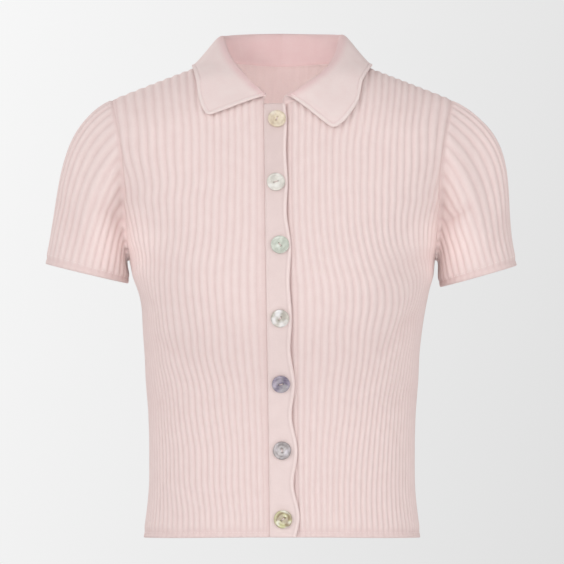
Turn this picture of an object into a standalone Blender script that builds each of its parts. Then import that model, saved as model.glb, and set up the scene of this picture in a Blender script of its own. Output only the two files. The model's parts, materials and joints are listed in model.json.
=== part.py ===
"""Short sleeve cardigan: a fine ribbed knit, filled out as worn, with a plain pointed collar.

The garment is held up by the wearer's shoulders. The origin is midway between the two high points
of the shoulders, +X is the wearer's left, -Y is the front and +Z is up. Each cut piece is a thin
closed wall: its outer points follow a smooth figure surface, every second column of them is raised
into a rib, and its inside is plain. Pieces meet at their seams with a gap of 0.3 mm.
"""

import bmesh
import bpy
import numpy as np
from mathutils import Vector

MM = 0.001
NAME = "short_sleeve_cardigan"

# ---------------------------------------------------------------- driving sizes, in millimetres
WALL = 1.6               # knit at the bottom of a groove
RIB = 1.2                # height of a rib over the groove
SEAM = 0.3               # gap between two pieces
EDGE = 4.5               # depth of the self-finished edge at hem and cuff
EDGE_RIB = 0.35          # what is left of the rib's height in that edge

HPS_X, HPS_Z = 65.0, 5.0       # high point of the shoulder, beside the neck
SHOULDER_SLOPE = 0.385
SHOULDER_ROLL = 60.0           # height over which the chest rounds over into the shoulder
BACK_NECK_RISE = 22.0
FRONT_NECK_Y, BACK_NECK_Y = 77.0, 56.0
HEM_Z, HEM_RISE = -479.0, 7.7
BUST_Z, NOTCH_Z, UNDERARM_Z = -235.0, -137.0, -198.0
SQUARE = 2.25                  # exponent of the body's oval section

# The body's oval sections: half width, and depth to the front and to the back.
FIGURE_COLUMNS = ("z", "half_width", "front", "back")
FIGURE = (
    (-479, 140.5, 92, 93), (-455, 137, 90, 91), (-430, 134.5, 88, 88), (-400, 134, 87, 84),
    (-353, 135, 88, 80), (-321, 137.5, 95, 82), (-289, 139, 108, 86), (-257, 143, 120, 91),
    (-225, 149, 124, 95), (-198, 154.5, 121, 98), (-165, 160, 114, 99), (-137, 166, 107, 98),
    (-100, 176, 98, 94), (-60, 188, 85, 84), (-36, 193, 77, 77), (0, 197, 70, 70), (30, 198, 66, 66),
)
BUST = dict(x=76.0, z=-238.0, wide=44.0, tall=58.0, rise=7.0)

# The edge of the chest at the armhole, above the notch where the underarm curve starts.
ARMHOLE_COLUMNS = ("z", "x")
ARMHOLE = ((-137, 158), (-120, 158.5), (-100, 160.5), (-80, 163), (-60, 167), (-45, 170.5),
           (-34, 172.5), (0, 176))

# How much wider a rib is at the centre than on average, as the cloth spreads over the bust.
SPREAD_COLUMNS = ("z", "spread")
SPREAD = ((-479, -0.08), (-400, -0.05), (-350, 0.0), (-290, 0.10), (-235, 0.09), (-190, 0.03),
          (-137, -0.02), (-60, 0.05), (30, 0.10))

# Ribs from the centre to the armhole, and under the arm.
RIBS_RIGHT, RIBS_LEFT, RIBS_BACK, RIBS_UNDERARM = 21, 22, 22, 7
FRONT_HEIGHTS = (-440, -402, -367, -338, -312, -287, -261)   # rows of points below the bust
BACK_HEIGHTS = (-430, -380, -330, -282)
BUST_ROWS, UPPER_ROWS = 3, 6

# The overlapping bands down the front. The upper band's free edge comes out round each button.
BAND_COLUMNS = ("z", "inner", "edge")
BAND = (
    (-42.5, -18, 3.0), (-58, -17.8, 4.2), (-90, -17.3, 3.6), (-121, -16.8, 5.2), (-152, -16.4, 4.2),
    (-183, -16, 8.4), (-218, -15.4, 7.0), (-254, -14.8, 9.2), (-286, -14.3, 7.8),
    (-319, -13.8, 12.2), (-352, -13.4, 9.2), (-386, -12.9, 15.0), (-420, -12.5, 11.0),
    (-454, -12.1, 17.0), (-471.3, -12, 13.5),
)
RECESS_COLUMNS = ("z", "edge")          # the same edge without the button bulges
RECESS = ((-42.5, 3.0), (-152, 4.0), (-218, 6.4), (-286, 7.8), (-352, 9.2), (-420, 11.0),
          (-471.3, 13.0))
BAND_WALL, BAND_OVER, BAND_UNDER = 2.0, 1.6, -0.7   # wall, and outer faces from the chest surface
LEFT_DIP, DIP_REACH = 2.2, 12.0                     # the left front sinks under the upper band

BUTTON_COLUMNS = ("x", "z")
BUTTONS = ((-5, -58), (-6, -121), (-2, -183), (-2, -254), (-1, -319), (0, -386), (1, -454))
BUTTON_RADIUS, BUTTON_THICK, BUTTON_DISH, BUTTON_HOLE, HOLE_SPREAD = 9.0, 2.3, 0.7, 0.9, 1.9
BUTTON_GAP = 0.55        # a sewn button stands off the band, which is hollow under the bust

# Sleeves: the open cuff as a tilted oval, with the arm's outer side highest, and how much the
# head of the sleeve stands out.
CUFF_COLUMNS = ("side", "x", "y", "z", "across", "deep", "tilt", "cap")
CUFFS = ((-1, 199.4, -3.0, -209.8, 43.6, 46.0, 13.5, 0.05),
         (1, 205.5, -3.0, -212.4, 35.8, 52.5, 15.9, 0.18))
SLEEVE_RIBS, SLEEVE_STEPS = 44, (0.17, 0.36, 0.58, 0.80)

# Soft creases: a line in x and z on a panel, its half width and its height (a trough is negative).
CREASE_COLUMNS = ("panel", "x0", "z0", "x1", "z1", "wide", "rise")
CREASES = (
    ("left", 146, -192, 104, -214, 9, -2.2), ("left", 150, -212, 112, -240, 10, 1.8),
    ("left", 128, -254, 98, -288, 9, -1.8), ("left", 132, -330, 84, -352, 12, -1.4),
    ("right", 146, -190, 106, -208, 9, -2.0), ("right", 148, -214, 116, -242, 10, 1.6),
    ("right", 120, -282, 84, -300, 9, -1.4), ("right", 130, -340, 90, -356, 12, -1.3),
    ("back", 148, -188, 104, -210, 10, -2.2), ("back", -148, -188, -104, -210, 10, -2.2),
    ("back", 120, -300, 20, -336, 14, -2.4), ("back", -116, -318, -24, -350, 14, -2.0),
)

# Collar: the roll line and the free edge, from the centre front (0) over the shoulder (1) to the
# centre back (2). The free edge lies on the body, so it needs no depth.
COLLAR_COLUMNS = ("at", "roll_x", "roll_y", "roll_z", "edge_x", "edge_y", "edge_z")
COLLAR_RIGHT = (
    (0.0, 17.5, -77, -34.0, 74, -80, -54), (0.25, 27, -72, -26, 79, -73, -45),
    (0.5, 42, -57, -11, 84, -58, -31), (0.75, 54, -34, 7, 88, -36, -17),
    (1.0, 61, -3, 26, 91, -8, -2), (1.4, 56, 34, 33, 80, 38, -6), (1.7, 34, 55, 36, 46, 66, -9),
    (2.0, 0, 63, 37, 0, 72, -10),
)
COLLAR_LEFT = (
    (0.0, 7.0, -79, -34.5, 51, -80, -67), (0.25, 21, -76, -26, 63, -78, -57),
    (0.5, 41, -59, -11, 75, -67, -40), (0.75, 54, -35, 6, 85, -42, -22),
    (1.0, 61, -3, 27, 91, -9, -3), (1.4, 56, 34, 34, 80, 38, -6), (1.7, 34, 55, 36, 46, 66, -9),
    (2.0, 0, 63, 37, 0, 72, -10),
)
COLLAR_WALL, COLLAR_CLEAR, COLLAR_SEAM = 2.2, 4.0, 0.5


# ---------------------------------------------------------------- curves through short tables
def read(table, columns, name):
    return np.array([row[columns.index(name)] for row in table], float)


def through(table, columns, name, at, key="z"):
    """A smooth curve through one column of a table: cubic pieces with centred slopes."""
    knots, values = read(table, columns, key), read(table, columns, name)
    order = np.argsort(knots)
    knots, values = knots[order], values[order]
    slopes = np.gradient(values, knots)
    at = np.clip(at, knots[0], knots[-1])
    k = np.clip(np.searchsorted(knots, at, side="right") - 1, 0, len(knots) - 2)
    span = knots[k + 1] - knots[k]
    t = (at - knots[k]) / span
    rise = values[k + 1] - values[k]
    curve = values[k] + t * t * (3 - 2 * t) * rise
    return curve + span * t * (1 - t) * ((1 - t) * slopes[k] - t * slopes[k + 1])


def figure(name, z):
    return through(FIGURE, FIGURE_COLUMNS, name, z)


def ramp(low, high, value):
    t = np.clip((value - low) / (high - low), 0, 1)
    return t * t * (3 - 2 * t)


def unit(vectors):
    return vectors / np.maximum(np.linalg.norm(vectors, axis=-1, keepdims=True), 1e-9)


# ---------------------------------------------------------------- the figure surface
def ridge(x, side):
    """Height of the shoulder line, which levels out beside the neck and rises behind it."""
    def bend(v):
        return 10.0 * np.logaddexp(0.0, v / 10.0)

    z = HPS_Z - SHOULDER_SLOPE * (bend(np.abs(x) - HPS_X) - bend(0.0))
    if side == "back":
        z = z + BACK_NECK_RISE * np.clip(1 - (x / HPS_X) ** 2, 0, None)
    return z


def rounding(x, z, side):
    drop = np.clip((ridge(x, side) - z) / SHOULDER_ROLL, 0, 1)
    return np.sqrt(np.clip(1 - (1 - drop) ** 2, 0, 1))


def bust(x, z):
    b = BUST
    return b["rise"] * np.exp(-(((np.abs(x) - b["x"]) / b["wide"]) ** 2)
                              - ((z - b["z"]) / b["tall"]) ** 2)


def depth(x, z, side):
    """Distance of the groove surface from the plane y = 0."""
    across = np.clip(1 - (np.abs(x) / figure("half_width", z)) ** SQUARE, 0, 1)
    y = figure(side, z) * across ** (1 / SQUARE) * rounding(x, z, side)
    return y + (bust(x, z) * ramp(0.0, 0.35, across) if side == "front" else 0.0)


def crease_height(x, z, panel):
    total = np.zeros_like(x)
    for name, x0, z0, x1, z1, wide, rise in CREASES:
        if name == panel:
            run = np.array([x1 - x0, z1 - z0], float)
            along = np.clip(((x - x0) * run[0] + (z - z0) * run[1]) / (run @ run), 0, 1)
            away = np.hypot(x - x0 - along * run[0], z - z0 - along * run[1])
            total += rise * np.exp(-((away / wide) ** 2)) * (1 - 0.6 * along)
    return total


# ---------------------------------------------------------------- panels with their ribs
class Panel:
    """A body panel as a surface over p (share of the ribs from centre to side) and w (height).

    w runs from 0 at the hem to 1 at the armhole's notch and, on the ribs that pass inside the
    armhole, on to 2 at the neckline or shoulder.
    """

    def __init__(self, name, side, inner_ribs, start):
        self.name, self.side, self.start = name, side, start
        self.ribs = inner_ribs + RIBS_UNDERARM
        self.share = inner_ribs / self.ribs
        self.sign = -1.0 if name == "right" else 1.0

    def arcs(self, z):
        """Angles round the section at height z, and the share of arc length up to each."""
        half, deep = figure("half_width", z)[..., None], figure(self.side, z)[..., None]
        first = np.arcsin(np.clip(self.start(z)[..., None] / half, 0, 1) ** (SQUARE / 2))
        angle = first + (np.pi / 2 - first) * np.linspace(0, 1, 41)
        x = half * np.sin(angle) ** (2 / SQUARE)
        y = deep * np.clip(np.cos(angle), 0, 1) ** (2 / SQUARE)
        steps = np.hypot(np.diff(x), np.diff(y))
        arc = np.concatenate([np.zeros_like(steps[..., :1]), np.cumsum(steps, -1)], -1)
        return angle, arc / arc[..., -1:], x

    @staticmethod
    def pick(keys, values, at):
        k = np.clip((keys < at[..., None]).sum(-1), 1, keys.shape[-1] - 1)[..., None]
        k0, k1 = np.take_along_axis(keys, k - 1, -1), np.take_along_axis(keys, k, -1)
        v0, v1 = np.take_along_axis(values, k - 1, -1), np.take_along_axis(values, k, -1)
        t = (at[..., None] - k0) / np.maximum(k1 - k0, 1e-9)
        return (v0 + t * (v1 - v0))[..., 0]

    def flat_point(self, p, z):
        """x and depth at share p of the ribs and height z."""
        angle, arc, x = self.arcs(z)
        high = np.maximum(z, NOTCH_Z)
        _, high_arc, high_x = self.arcs(high)
        reach = self.pick(high_x, high_arc, through(ARMHOLE, ARMHOLE_COLUMNS, "x", high))
        reach = self.share + (reach - self.share) * ramp(BUST_Z - 15, NOTCH_Z, z)
        q = p / self.share
        spread = through(SPREAD, SPREAD_COLUMNS, "spread", z)
        inside = reach * (np.minimum(q, 1) + spread * np.sin(np.pi * np.minimum(q, 1)) / np.pi)
        past = (p - self.share) / (1 - self.share)
        share = np.where(q <= 1, inside, reach + (1 - reach) * past)
        at = self.pick(arc, angle, share)
        x = figure("half_width", z) * np.sin(at) ** (2 / SQUARE)
        across = np.clip(np.cos(at), 0, 1) ** (2 / SQUARE)
        y = figure(self.side, z) * across * rounding(x, z, self.side)
        if self.side == "front":
            y = y + bust(x, z) * ramp(0.0, 0.35, across ** SQUARE)
        return x, y

    def top(self, p):
        """Height where the ribs of an inner column end, at the neckline or on the shoulder."""
        neck = FRONT_NECK_Y if self.side == "front" else BACK_NECK_Y
        low, high = np.full_like(p, -75.0), np.full_like(p, 30.0)
        for _ in range(24):
            z = (low + high) / 2
            x, y = self.flat_point(p, z)
            below = y > neck * np.sqrt(np.clip(1 - (x / HPS_X) ** 2, 0, 1)) + 1e-6
            low, high = np.where(below, z, low), np.where(below, high, z)
        return (low + high) / 2

    def height(self, p, w):
        hem = HEM_Z + (HEM_RISE if self.side == "front" else 0.0) * np.cos(p * np.pi / 2) ** 0.9
        past = np.clip((p - self.share) / (1 - self.share), 0, 1)
        under = UNDERARM_Z + (NOTCH_Z - UNDERARM_Z) * (1 - past) ** 1.8
        knots = self.knots
        low = hem + EDGE * np.clip(w / knots[1], 0, 1)
        low = low + (BUST_Z - hem - EDGE) * np.clip((w - knots[1]) / (knots[2] - knots[1]), 0, 1)
        low = low + (under - BUST_Z) * np.clip((w - knots[2]) / (1 - knots[2]), 0, 1)
        top = self.top(p)
        high = top - (top - NOTCH_Z) * (1 - np.sin(np.pi / 2 * np.clip(w - 1, 0, 1)))
        return np.where(w <= 1, low, high)

    knots = (0.0, 0.02, 0.66)

    def base(self, p, w):
        p, w = np.broadcast_arrays(np.asarray(p, float), np.asarray(w, float))
        z = self.height(p, w)
        x, y = self.flat_point(p, z)
        y = y + SEAM / 2
        return np.stack([self.sign * x, y if self.side == "back" else -y, z], -1)

    def points(self, p, w):
        """Groove points of the outer face, and the outward normals there."""
        step = 1e-3
        low_p, high_p = np.clip(p - step, 0, 1), np.clip(p + step, 0, 1)
        seam = (w <= 1) & (p <= self.share + 1e-9)
        high_p = np.where(~seam & (w > 1), np.minimum(high_p, self.share), high_p)
        low_w, high_w = np.clip(w - step, 0, 2), np.clip(w + step, 0, 2)
        high_w = np.where(p > self.share + 1e-9, np.minimum(high_w, 1.0), high_w)
        across = self.base(high_p, w) - self.base(low_p, w)
        along = self.base(p, high_w) - self.base(p, low_w)
        normal = unit(np.cross(across, along))
        spot = self.base(p, w)
        outward = np.array([0.2, 1.0, 0.0]) if self.side == "back" else np.array([0.2, -1.0, 0.0])
        outward = outward * np.array([self.sign, 1.0, 1.0])
        normal = normal * np.where((normal @ outward) < 0, -1.0, 1.0)[..., None]
        at_side = (p > 1 - 1e-6) | ((w > 2 - 1e-6) & (np.abs(spot[..., 0]) > HPS_X))
        normal[..., 1] = np.where(at_side, 0.0, normal[..., 1])
        normal = unit(normal)
        lift = crease_height(spot[..., 0] * (self.sign if self.name == "right" else 1.0),
                             spot[..., 2], self.name)
        lift = lift * ramp(0, 0.12, 1 - p) * ramp(0, 0.1, self.share + 1 - np.abs(w - 1) - 0.2)
        if self.name == "left":
            away = np.abs(spot[..., 0]) - self.start(spot[..., 2])
            lift = lift - LEFT_DIP * (1 - ramp(0, DIP_REACH, away))
        return spot + normal * lift[..., None], normal


def rib_height(p_columns, w, edge_w):
    """Every second column is a rib; ribs sink at the centre edge and in the self-finished hem."""
    lift = np.where(np.arange(len(p_columns)) % 2 == 1, RIB, 0.0)
    lift[1] *= 0.45
    rows = np.where((w < edge_w + 1e-9) | (w > 2 - 1e-9), EDGE_RIB / RIB, 1.0)
    return rows[:, None] * lift[None, :]


# ---------------------------------------------------------------- walls closed into solids
def wall_faces(cells, coarse, rows, columns, wrap=False):
    """Faces of a wall with a fine outer grid and a coarse inner one, closed along every edge.

    cells[r] is the range of columns covered between rows r and r + 1. Outer point (r, c) has
    number r * columns + c, and the inner points follow in the same order.
    """
    shift = rows * columns

    def out(r, c):
        return r * columns + c % columns

    def back(r, c):
        return shift + r * columns + c % columns

    faces = []

    def fan(r, c0, c1, line, to):
        """Triangles from a fine line of points to the two points at (to, c0) and (to, c1)."""
        middle = (c0 + c1) // 2
        for c in range(c0, c1):
            faces.append((line(r, c), line(r, c + 1), back(to, c0 if c < middle else c1)))
        faces.append((line(r, middle), back(to, c1), back(to, c0)))

    def seam_rim(r, c0, c1):
        for c in range(c0, c1):
            faces.append((out(r, c), out(r, c + 1), back(r, c + 1), back(r, c)))

    def covered(r, c0, c1):
        return 0 <= r < len(cells) and cells[r][0] <= c0 and c1 <= cells[r][1]

    for r, (first, last) in enumerate(cells):
        for c in range(first, last):
            faces.append((out(r, c), out(r, c + 1), out(r + 1, c + 1), out(r + 1, c)))
        for c0, c1 in zip(coarse[:-1], coarse[1:]):
            if first <= c0 and c1 <= last:
                if not covered(r - 1, c0, c1):
                    fan(r, c0, c1, out, r)
                if covered(r + 1, c0, c1):
                    faces.append((back(r, c0), back(r + 1, c0), back(r + 1, c1), back(r, c1)))
                else:
                    fan(r + 1, c0, c1, back, r)
                    seam_rim(r + 1, c0, c1)
        if not wrap:
            faces.append((out(r, first), out(r + 1, first), back(r + 1, first), back(r, first)))
            faces.append((out(r, last), back(r, last), back(r + 1, last), out(r + 1, last)))
    return faces


def make_solid(name, points, faces, material):
    """A mesh object from points in millimetres, without the points that no face uses."""
    mesh = bmesh.new()
    used = sorted({i for face in faces for i in face})
    vertex = {i: mesh.verts.new(points[i] * MM) for i in used}
    for face in faces:
        mesh.faces.new([vertex[i] for i in face])
    bmesh.ops.recalc_face_normals(mesh, faces=mesh.faces)
    data = bpy.data.meshes.new(name)
    mesh.to_mesh(data)
    mesh.free()
    data.materials.append(material)
    data.shade_smooth()
    body = bpy.data.objects.new(name, data)
    PARTS.objects.link(body)
    return body


def paint(name, colour, roughness=0.9):
    material = bpy.data.materials.new(name)
    material.use_nodes = True
    shader = material.node_tree.nodes["Principled BSDF"]
    shader.inputs["Base Color"].default_value = (*colour, 1.0)
    shader.inputs["Roughness"].default_value = roughness
    shader.inputs["Metallic"].default_value = 0.0
    return material


# ---------------------------------------------------------------- the pieces
def panel_grid(panel):
    """Outer and inner points of a panel over its half-rib columns and its rows."""
    columns = np.linspace(0, 1, 2 * panel.ribs + 1)
    k1, k2 = panel.knots[1], panel.knots[2]
    heights = np.array(FRONT_HEIGHTS if panel.side == "front" else BACK_HEIGHTS)
    lower = (heights - HEM_Z - EDGE) / (BUST_Z - HEM_Z - EDGE)
    rows = np.concatenate([[0, k1], k1 + (k2 - k1) * lower,
                           k2 + (1 - k2) * np.arange(BUST_ROWS + 1) / BUST_ROWS,
                           1 + np.arange(1, UPPER_ROWS + 1) / UPPER_ROWS])
    p, w = np.meshgrid(columns, rows)
    spot, normal = panel.points(p, w)
    outer = spot + normal * rib_height(columns, rows, k1)[..., None]
    return outer, spot - normal * WALL, spot, normal


def coarse_columns(stops, step=5):
    """About every fifth column of the outer face, keeping the given stops."""
    found = [stops[0]]
    for low, high in zip(stops[:-1], stops[1:]):
        count = max(1, round((high - low) / step))
        found += [low + round((high - low) * i / count) for i in range(1, count + 1)]
    return found


def make_panel(name, panel, material):
    outer, inner, spot, normal = panel_grid(panel)
    notch = 2 * (panel.ribs - RIBS_UNDERARM)
    low_rows = 2 + BUST_ROWS + len(FRONT_HEIGHTS if panel.side == "front" else BACK_HEIGHTS)
    side = outer.shape[1] - 1
    stops, cells = [0, notch, side], [(0, side)] * low_rows + [(0, notch)] * UPPER_ROWS
    if panel.side == "back":
        flip = np.array([-1.0, 1.0, 1.0])
        outer, inner = (np.concatenate([g[:, :0:-1] * flip, g], 1) for g in (outer, inner))
        stops = [0, side - notch, side, side + notch, 2 * side]
        cells = [(0, 2 * side)] * low_rows + [(side - notch, side + notch)] * UPPER_ROWS
    rows, columns = outer.shape[:2]
    faces = wall_faces(cells, coarse_columns(stops), rows, columns)
    points = np.concatenate([outer.reshape(-1, 3), inner.reshape(-1, 3)])
    make_solid(name, points, faces, material)
    return dict(spot=spot, normal=normal, notch=notch, low=low_rows)


def edge_of(made, path, inside):
    """Points, normals and directions out of the panel along its edge; inside are neighbours."""
    spot, normal = (np.array([made[name][r, c] for r, c in path]) for name in ("spot", "normal"))
    inner = np.array([made["spot"][r, c] for r, c in inside])
    out = unit(np.cross(normal, np.gradient(spot, axis=0)))
    return spot, normal, out * np.sign(((spot - inner) * out).sum(-1, keepdims=True))


def armhole_edge(made):
    """The armhole from the underarm up to the shoulder tip."""
    side, low, top, notch = made["spot"].shape[1] - 1, made["low"], len(made["spot"]), made["notch"]
    under = [(low, c) for c in range(side, notch, -1)]
    chest = [(r, notch) for r in range(low, top)]
    return edge_of(made, under + chest,
                   [(low - 1, c) for _, c in under] + [(r, notch - 1) for r, _ in chest])


def turned(spot, normal, out, aim, bend, short, gap=SEAM):
    """A seam's first strip: it leaves along out and turns towards the normal as aim asks."""
    angle = np.maximum(np.arctan2((aim * normal).sum(-1), (aim * out).sum(-1)), 0)
    angle = np.where(angle > 3.1, 3.1, angle)[..., None]
    length = short + bend * angle
    rows = []
    for share in (0.0, 0.5, 1.0):
        turn = angle * share
        radius = length / np.maximum(angle, 1e-3)
        flat = np.where(angle < 1e-3, length * share, radius * np.sin(turn))
        rise = np.where(angle < 1e-3, 0.0, radius * (1 - np.cos(turn)))
        rows.append((spot + out * (gap + flat) + normal * rise,
                     normal * np.cos(turn) - out * np.sin(turn)))
    heading = out * np.cos(angle) + normal * np.sin(angle)
    return rows, heading


def spline(a, b, c, d, t):
    return (a * (1 - t) ** 3 + 3 * b * t * (1 - t) ** 2 + 3 * c * t * t * (1 - t) + d * t ** 3)


def make_sleeve(name, side, front, back, material):
    """A tube from the armhole's edge to the cuff; its ribs run down the arm."""
    ours = armhole_edge(front)
    behind = [v[::-1] * np.array([side, 1.0, 1.0]) for v in armhole_edge(back)]
    spot, normal, out = (np.concatenate([f, b]) for f, b in zip(ours, behind))
    arc = np.concatenate([[0], np.cumsum(np.linalg.norm(np.diff(spot, axis=0), axis=1))])
    arc = arc / arc[-1]
    half = arc[len(ours[0]) - 1]

    columns = 2 * SLEEVE_RIBS
    q = np.arange(columns) / columns
    ease = q - 0.34 * np.sin(4 * np.pi * q) / (4 * np.pi)
    where = np.interp(ease, [0, 0.5, 1], [0, half, 1])
    spot, normal, out = (np.stack([np.interp(where, arc, v[:, i]) for i in range(3)], -1)
                         for v in (spot, normal, out))
    normal, out = unit(normal), unit(out)

    cx, cy, cz, across, deep, tilt, cap = CUFFS[0][1:] if side < 0 else CUFFS[1][1:]
    lean = np.radians(tilt)
    outward = np.array([side * np.cos(lean), 0.0, np.sin(lean)])
    axis = np.array([side * np.sin(lean), 0.0, -np.cos(lean)])
    turn = 2 * np.pi * q[:, None]
    cuff = (np.array([side * cx, cy, cz]) - np.cos(turn) * across * outward
            - np.sin(turn) * deep * np.array([0.0, 1.0, 0.0]))

    aim = unit(cuff - spot)
    top = ramp(-112, -40, spot[:, 2:])
    strip, heading = turned(spot, normal, out, aim, 1.55, 3.0)
    start = strip[-1][0]
    reach = np.linalg.norm(cuff - start, axis=-1, keepdims=True)
    leave = unit(np.where(top > 0, (1 - top) * (aim + 0.35 * normal) + top * 1.3 * out,
                          aim + 0.35 * normal * ramp(-190, -150, spot[:, 2:])))
    first = start + leave * reach * (0.30 + cap * top)
    second = cuff - axis * reach * 0.40
    near = 1 - EDGE / np.maximum(reach * 1.05, 20.0)
    grid = [row for row, _ in strip]
    grid += [spline(start, first, second, cuff, t) for t in SLEEVE_STEPS]
    grid += [spline(start, first, second, cuff, near), cuff]
    grid = np.array(grid)
    along = np.gradient(grid, axis=0)
    round_it = np.roll(grid, -1, 1) - np.roll(grid, 1, 1)
    normals = unit(np.cross(round_it, along))
    middle = grid.mean(1, keepdims=True)
    normals = normals * np.where(((grid - middle) * normals).sum(-1).mean() < 0, -1.0, 1.0)
    for r, (_, given) in enumerate(strip):
        normals[r] = given
    ribs = np.where(np.arange(columns) % 2 == 1, RIB, 0.0)[None, :]
    rows = np.array([0, 0.25, 0.7] + [1] * len(SLEEVE_STEPS) + [EDGE_RIB / RIB] * 2)[:, None]
    outer = grid + normals * (ribs * rows)[..., None]
    inner = grid - normals * WALL
    count = len(grid)
    cells = [(0, columns)] * (count - 1)
    faces = wall_faces(cells, coarse_columns([0, columns], 5), count, columns, wrap=True)
    points = np.concatenate([outer.reshape(-1, 3), inner.reshape(-1, 3)])
    make_solid(name, points, faces, material)


def neck_edge(made, sign):
    """A panel's neckline from its centre edge to the high point of the shoulder."""
    top = len(made["spot"]) - 1
    x = np.abs(made["spot"][top, :made["notch"], 0])
    path = [(top, c) for c in range(int(np.searchsorted(x, HPS_X)) + 1)]
    return [v * np.array([sign, 1.0, 1.0])
            for v in edge_of(made, path, [(top - 1, c) for _, c in path])]


def lift_clear(row):
    """Moves points of the collar's fall out, so that it lies over the shoulders and the chest."""
    x, y, z = row.T.copy()
    for side, sign in (("front", -1.0), ("back", 1.0)):
        ours = y * sign >= 0
        full = figure(side, z) * np.clip(
            1 - (np.abs(x) / figure("half_width", z)) ** SQUARE, 0.01, 1) ** (1 / SQUARE)
        share = np.abs(y) / full
        low = share < 0.85
        rise = np.sqrt(1 - np.minimum(share, 0.85) ** 2)
        slope = SHOULDER_ROLL * np.minimum(share, 0.85) / (full * rise)
        over = ridge(x, side) - SHOULDER_ROLL * (1 - rise) + COLLAR_CLEAR * np.hypot(1, slope)
        row[:, 2] = np.where(ours & low, np.maximum(z, over), row[:, 2])
        out = np.maximum(np.abs(y), depth(x, z, side) + COLLAR_CLEAR)
        row[:, 1] = np.where(ours & ~low, sign * out, row[:, 1])


def make_collar(name, right, left, back, material):
    """A plain knit collar: a short stand from the neckline, a roll and a pointed fall."""
    sides = []
    for sign, front, table in ((-1, right, COLLAR_RIGHT), (1, left, COLLAR_LEFT)):
        f, b = neck_edge(front, 1.0), neck_edge(back, float(sign))
        tip = f if abs(f[0][-1, 0]) < abs(b[0][-1, 0]) else b
        picks = list(range(0, len(b[0]) - 1, 2))[::-1]
        joined = [np.concatenate([fv[:-1], tv[-1:], bv[picks]]) for fv, tv, bv in zip(f, tip, b)]
        arc = np.concatenate([[0], np.cumsum(
            np.linalg.norm(np.diff(joined[0], axis=0), axis=1))])
        seam = arc[len(f[0]) - 1]
        at = np.interp(arc, [0, seam, arc[-1]], [0, 1, 2])
        roll, edge = (np.stack([through(table, COLLAR_COLUMNS, f"{part}_{axis}", at, key="at")
                                for axis in "xyz"], -1) for part in ("roll", "edge"))
        for line in (roll, edge):
            line[:, 0] *= sign
        sides.append([*joined, roll, edge])
    spot, normal, out, roll, edge = (np.concatenate([r, np.flip(l, 0)[1:]])
                                     for r, l in zip(*sides))
    normal, out = unit(normal), unit(out)
    spot = spot + normal * (COLLAR_WALL - WALL) / 2
    strip, heading = turned(spot, normal, out, unit(roll - spot), 1.0, 2.0, COLLAR_SEAM)
    start = strip[-1][0]
    over = edge - roll
    over[:, 2] *= 0.15
    over = unit(over)
    tall = np.linalg.norm(roll - start, axis=-1, keepdims=True)
    long = np.linalg.norm(edge - roll, axis=-1, keepdims=True)
    tight = np.minimum(0.45 * tall, 5.0)
    centre = [row for row, _ in strip]
    centre += [spline(start, start + heading * tall * 0.4, roll - over * tight, roll, t)
               for t in (0.5, 1.0)]
    down = unit(edge - roll)
    centre += [spline(roll, roll + over * 5.5, edge - down * long * 0.4, edge, t)
               for t in (0.15, 0.38, 0.68, 1.0)]
    centre = np.array(centre)
    for row in centre[5:]:
        lift_clear(row)
    along = np.gradient(centre, axis=0)
    across = np.gradient(centre, axis=1)
    normals = unit(np.cross(along, across))
    normals = normals * np.where((normals[0] * normal).sum() < 0, -1.0, 1.0)
    for r, (_, given) in enumerate(strip):
        normals[r] = unit(given)
    outer, inner = centre, centre - normals * COLLAR_WALL
    rows, columns = centre.shape[:2]
    faces = wall_faces([(0, columns - 1)] * (rows - 1), list(range(columns)), rows, columns)
    points = np.concatenate([outer.reshape(-1, 3), inner.reshape(-1, 3)])
    make_solid(name, points, faces, material)


def band_point(x, z, lift):
    """A point over the chest surface near the centre front, and the outward normal there."""
    step = 0.5
    slope_x = (depth(x + step, z, "front") - depth(x - step, z, "front")) / (2 * step)
    slope_z = (depth(x, z + step, "front") - depth(x, z - step, "front")) / (2 * step)
    normal = unit(np.stack([-slope_x, -np.ones_like(x), -slope_z], -1))
    spot = np.stack([x, -(depth(x, z, "front") + SEAM / 2), z], -1)
    return spot + normal * lift, normal


def make_band(name, low_x, high_x, z, lift, material):
    """A strip of plain knit down the front, from its left line to its right one."""
    columns = np.linspace(0, 1, 4)
    x = low_x[:, None] + (high_x - low_x)[:, None] * columns
    height = np.repeat(z[:, None], len(columns), 1)
    outer, normal = band_point(x, height, lift)
    inner = outer - normal * BAND_WALL
    rows, count = x.shape
    faces = wall_faces([(0, count - 1)] * (rows - 1), list(range(count)), rows, count)
    make_solid(name, np.concatenate([outer.reshape(-1, 3), inner.reshape(-1, 3)]), faces, material)


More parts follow.
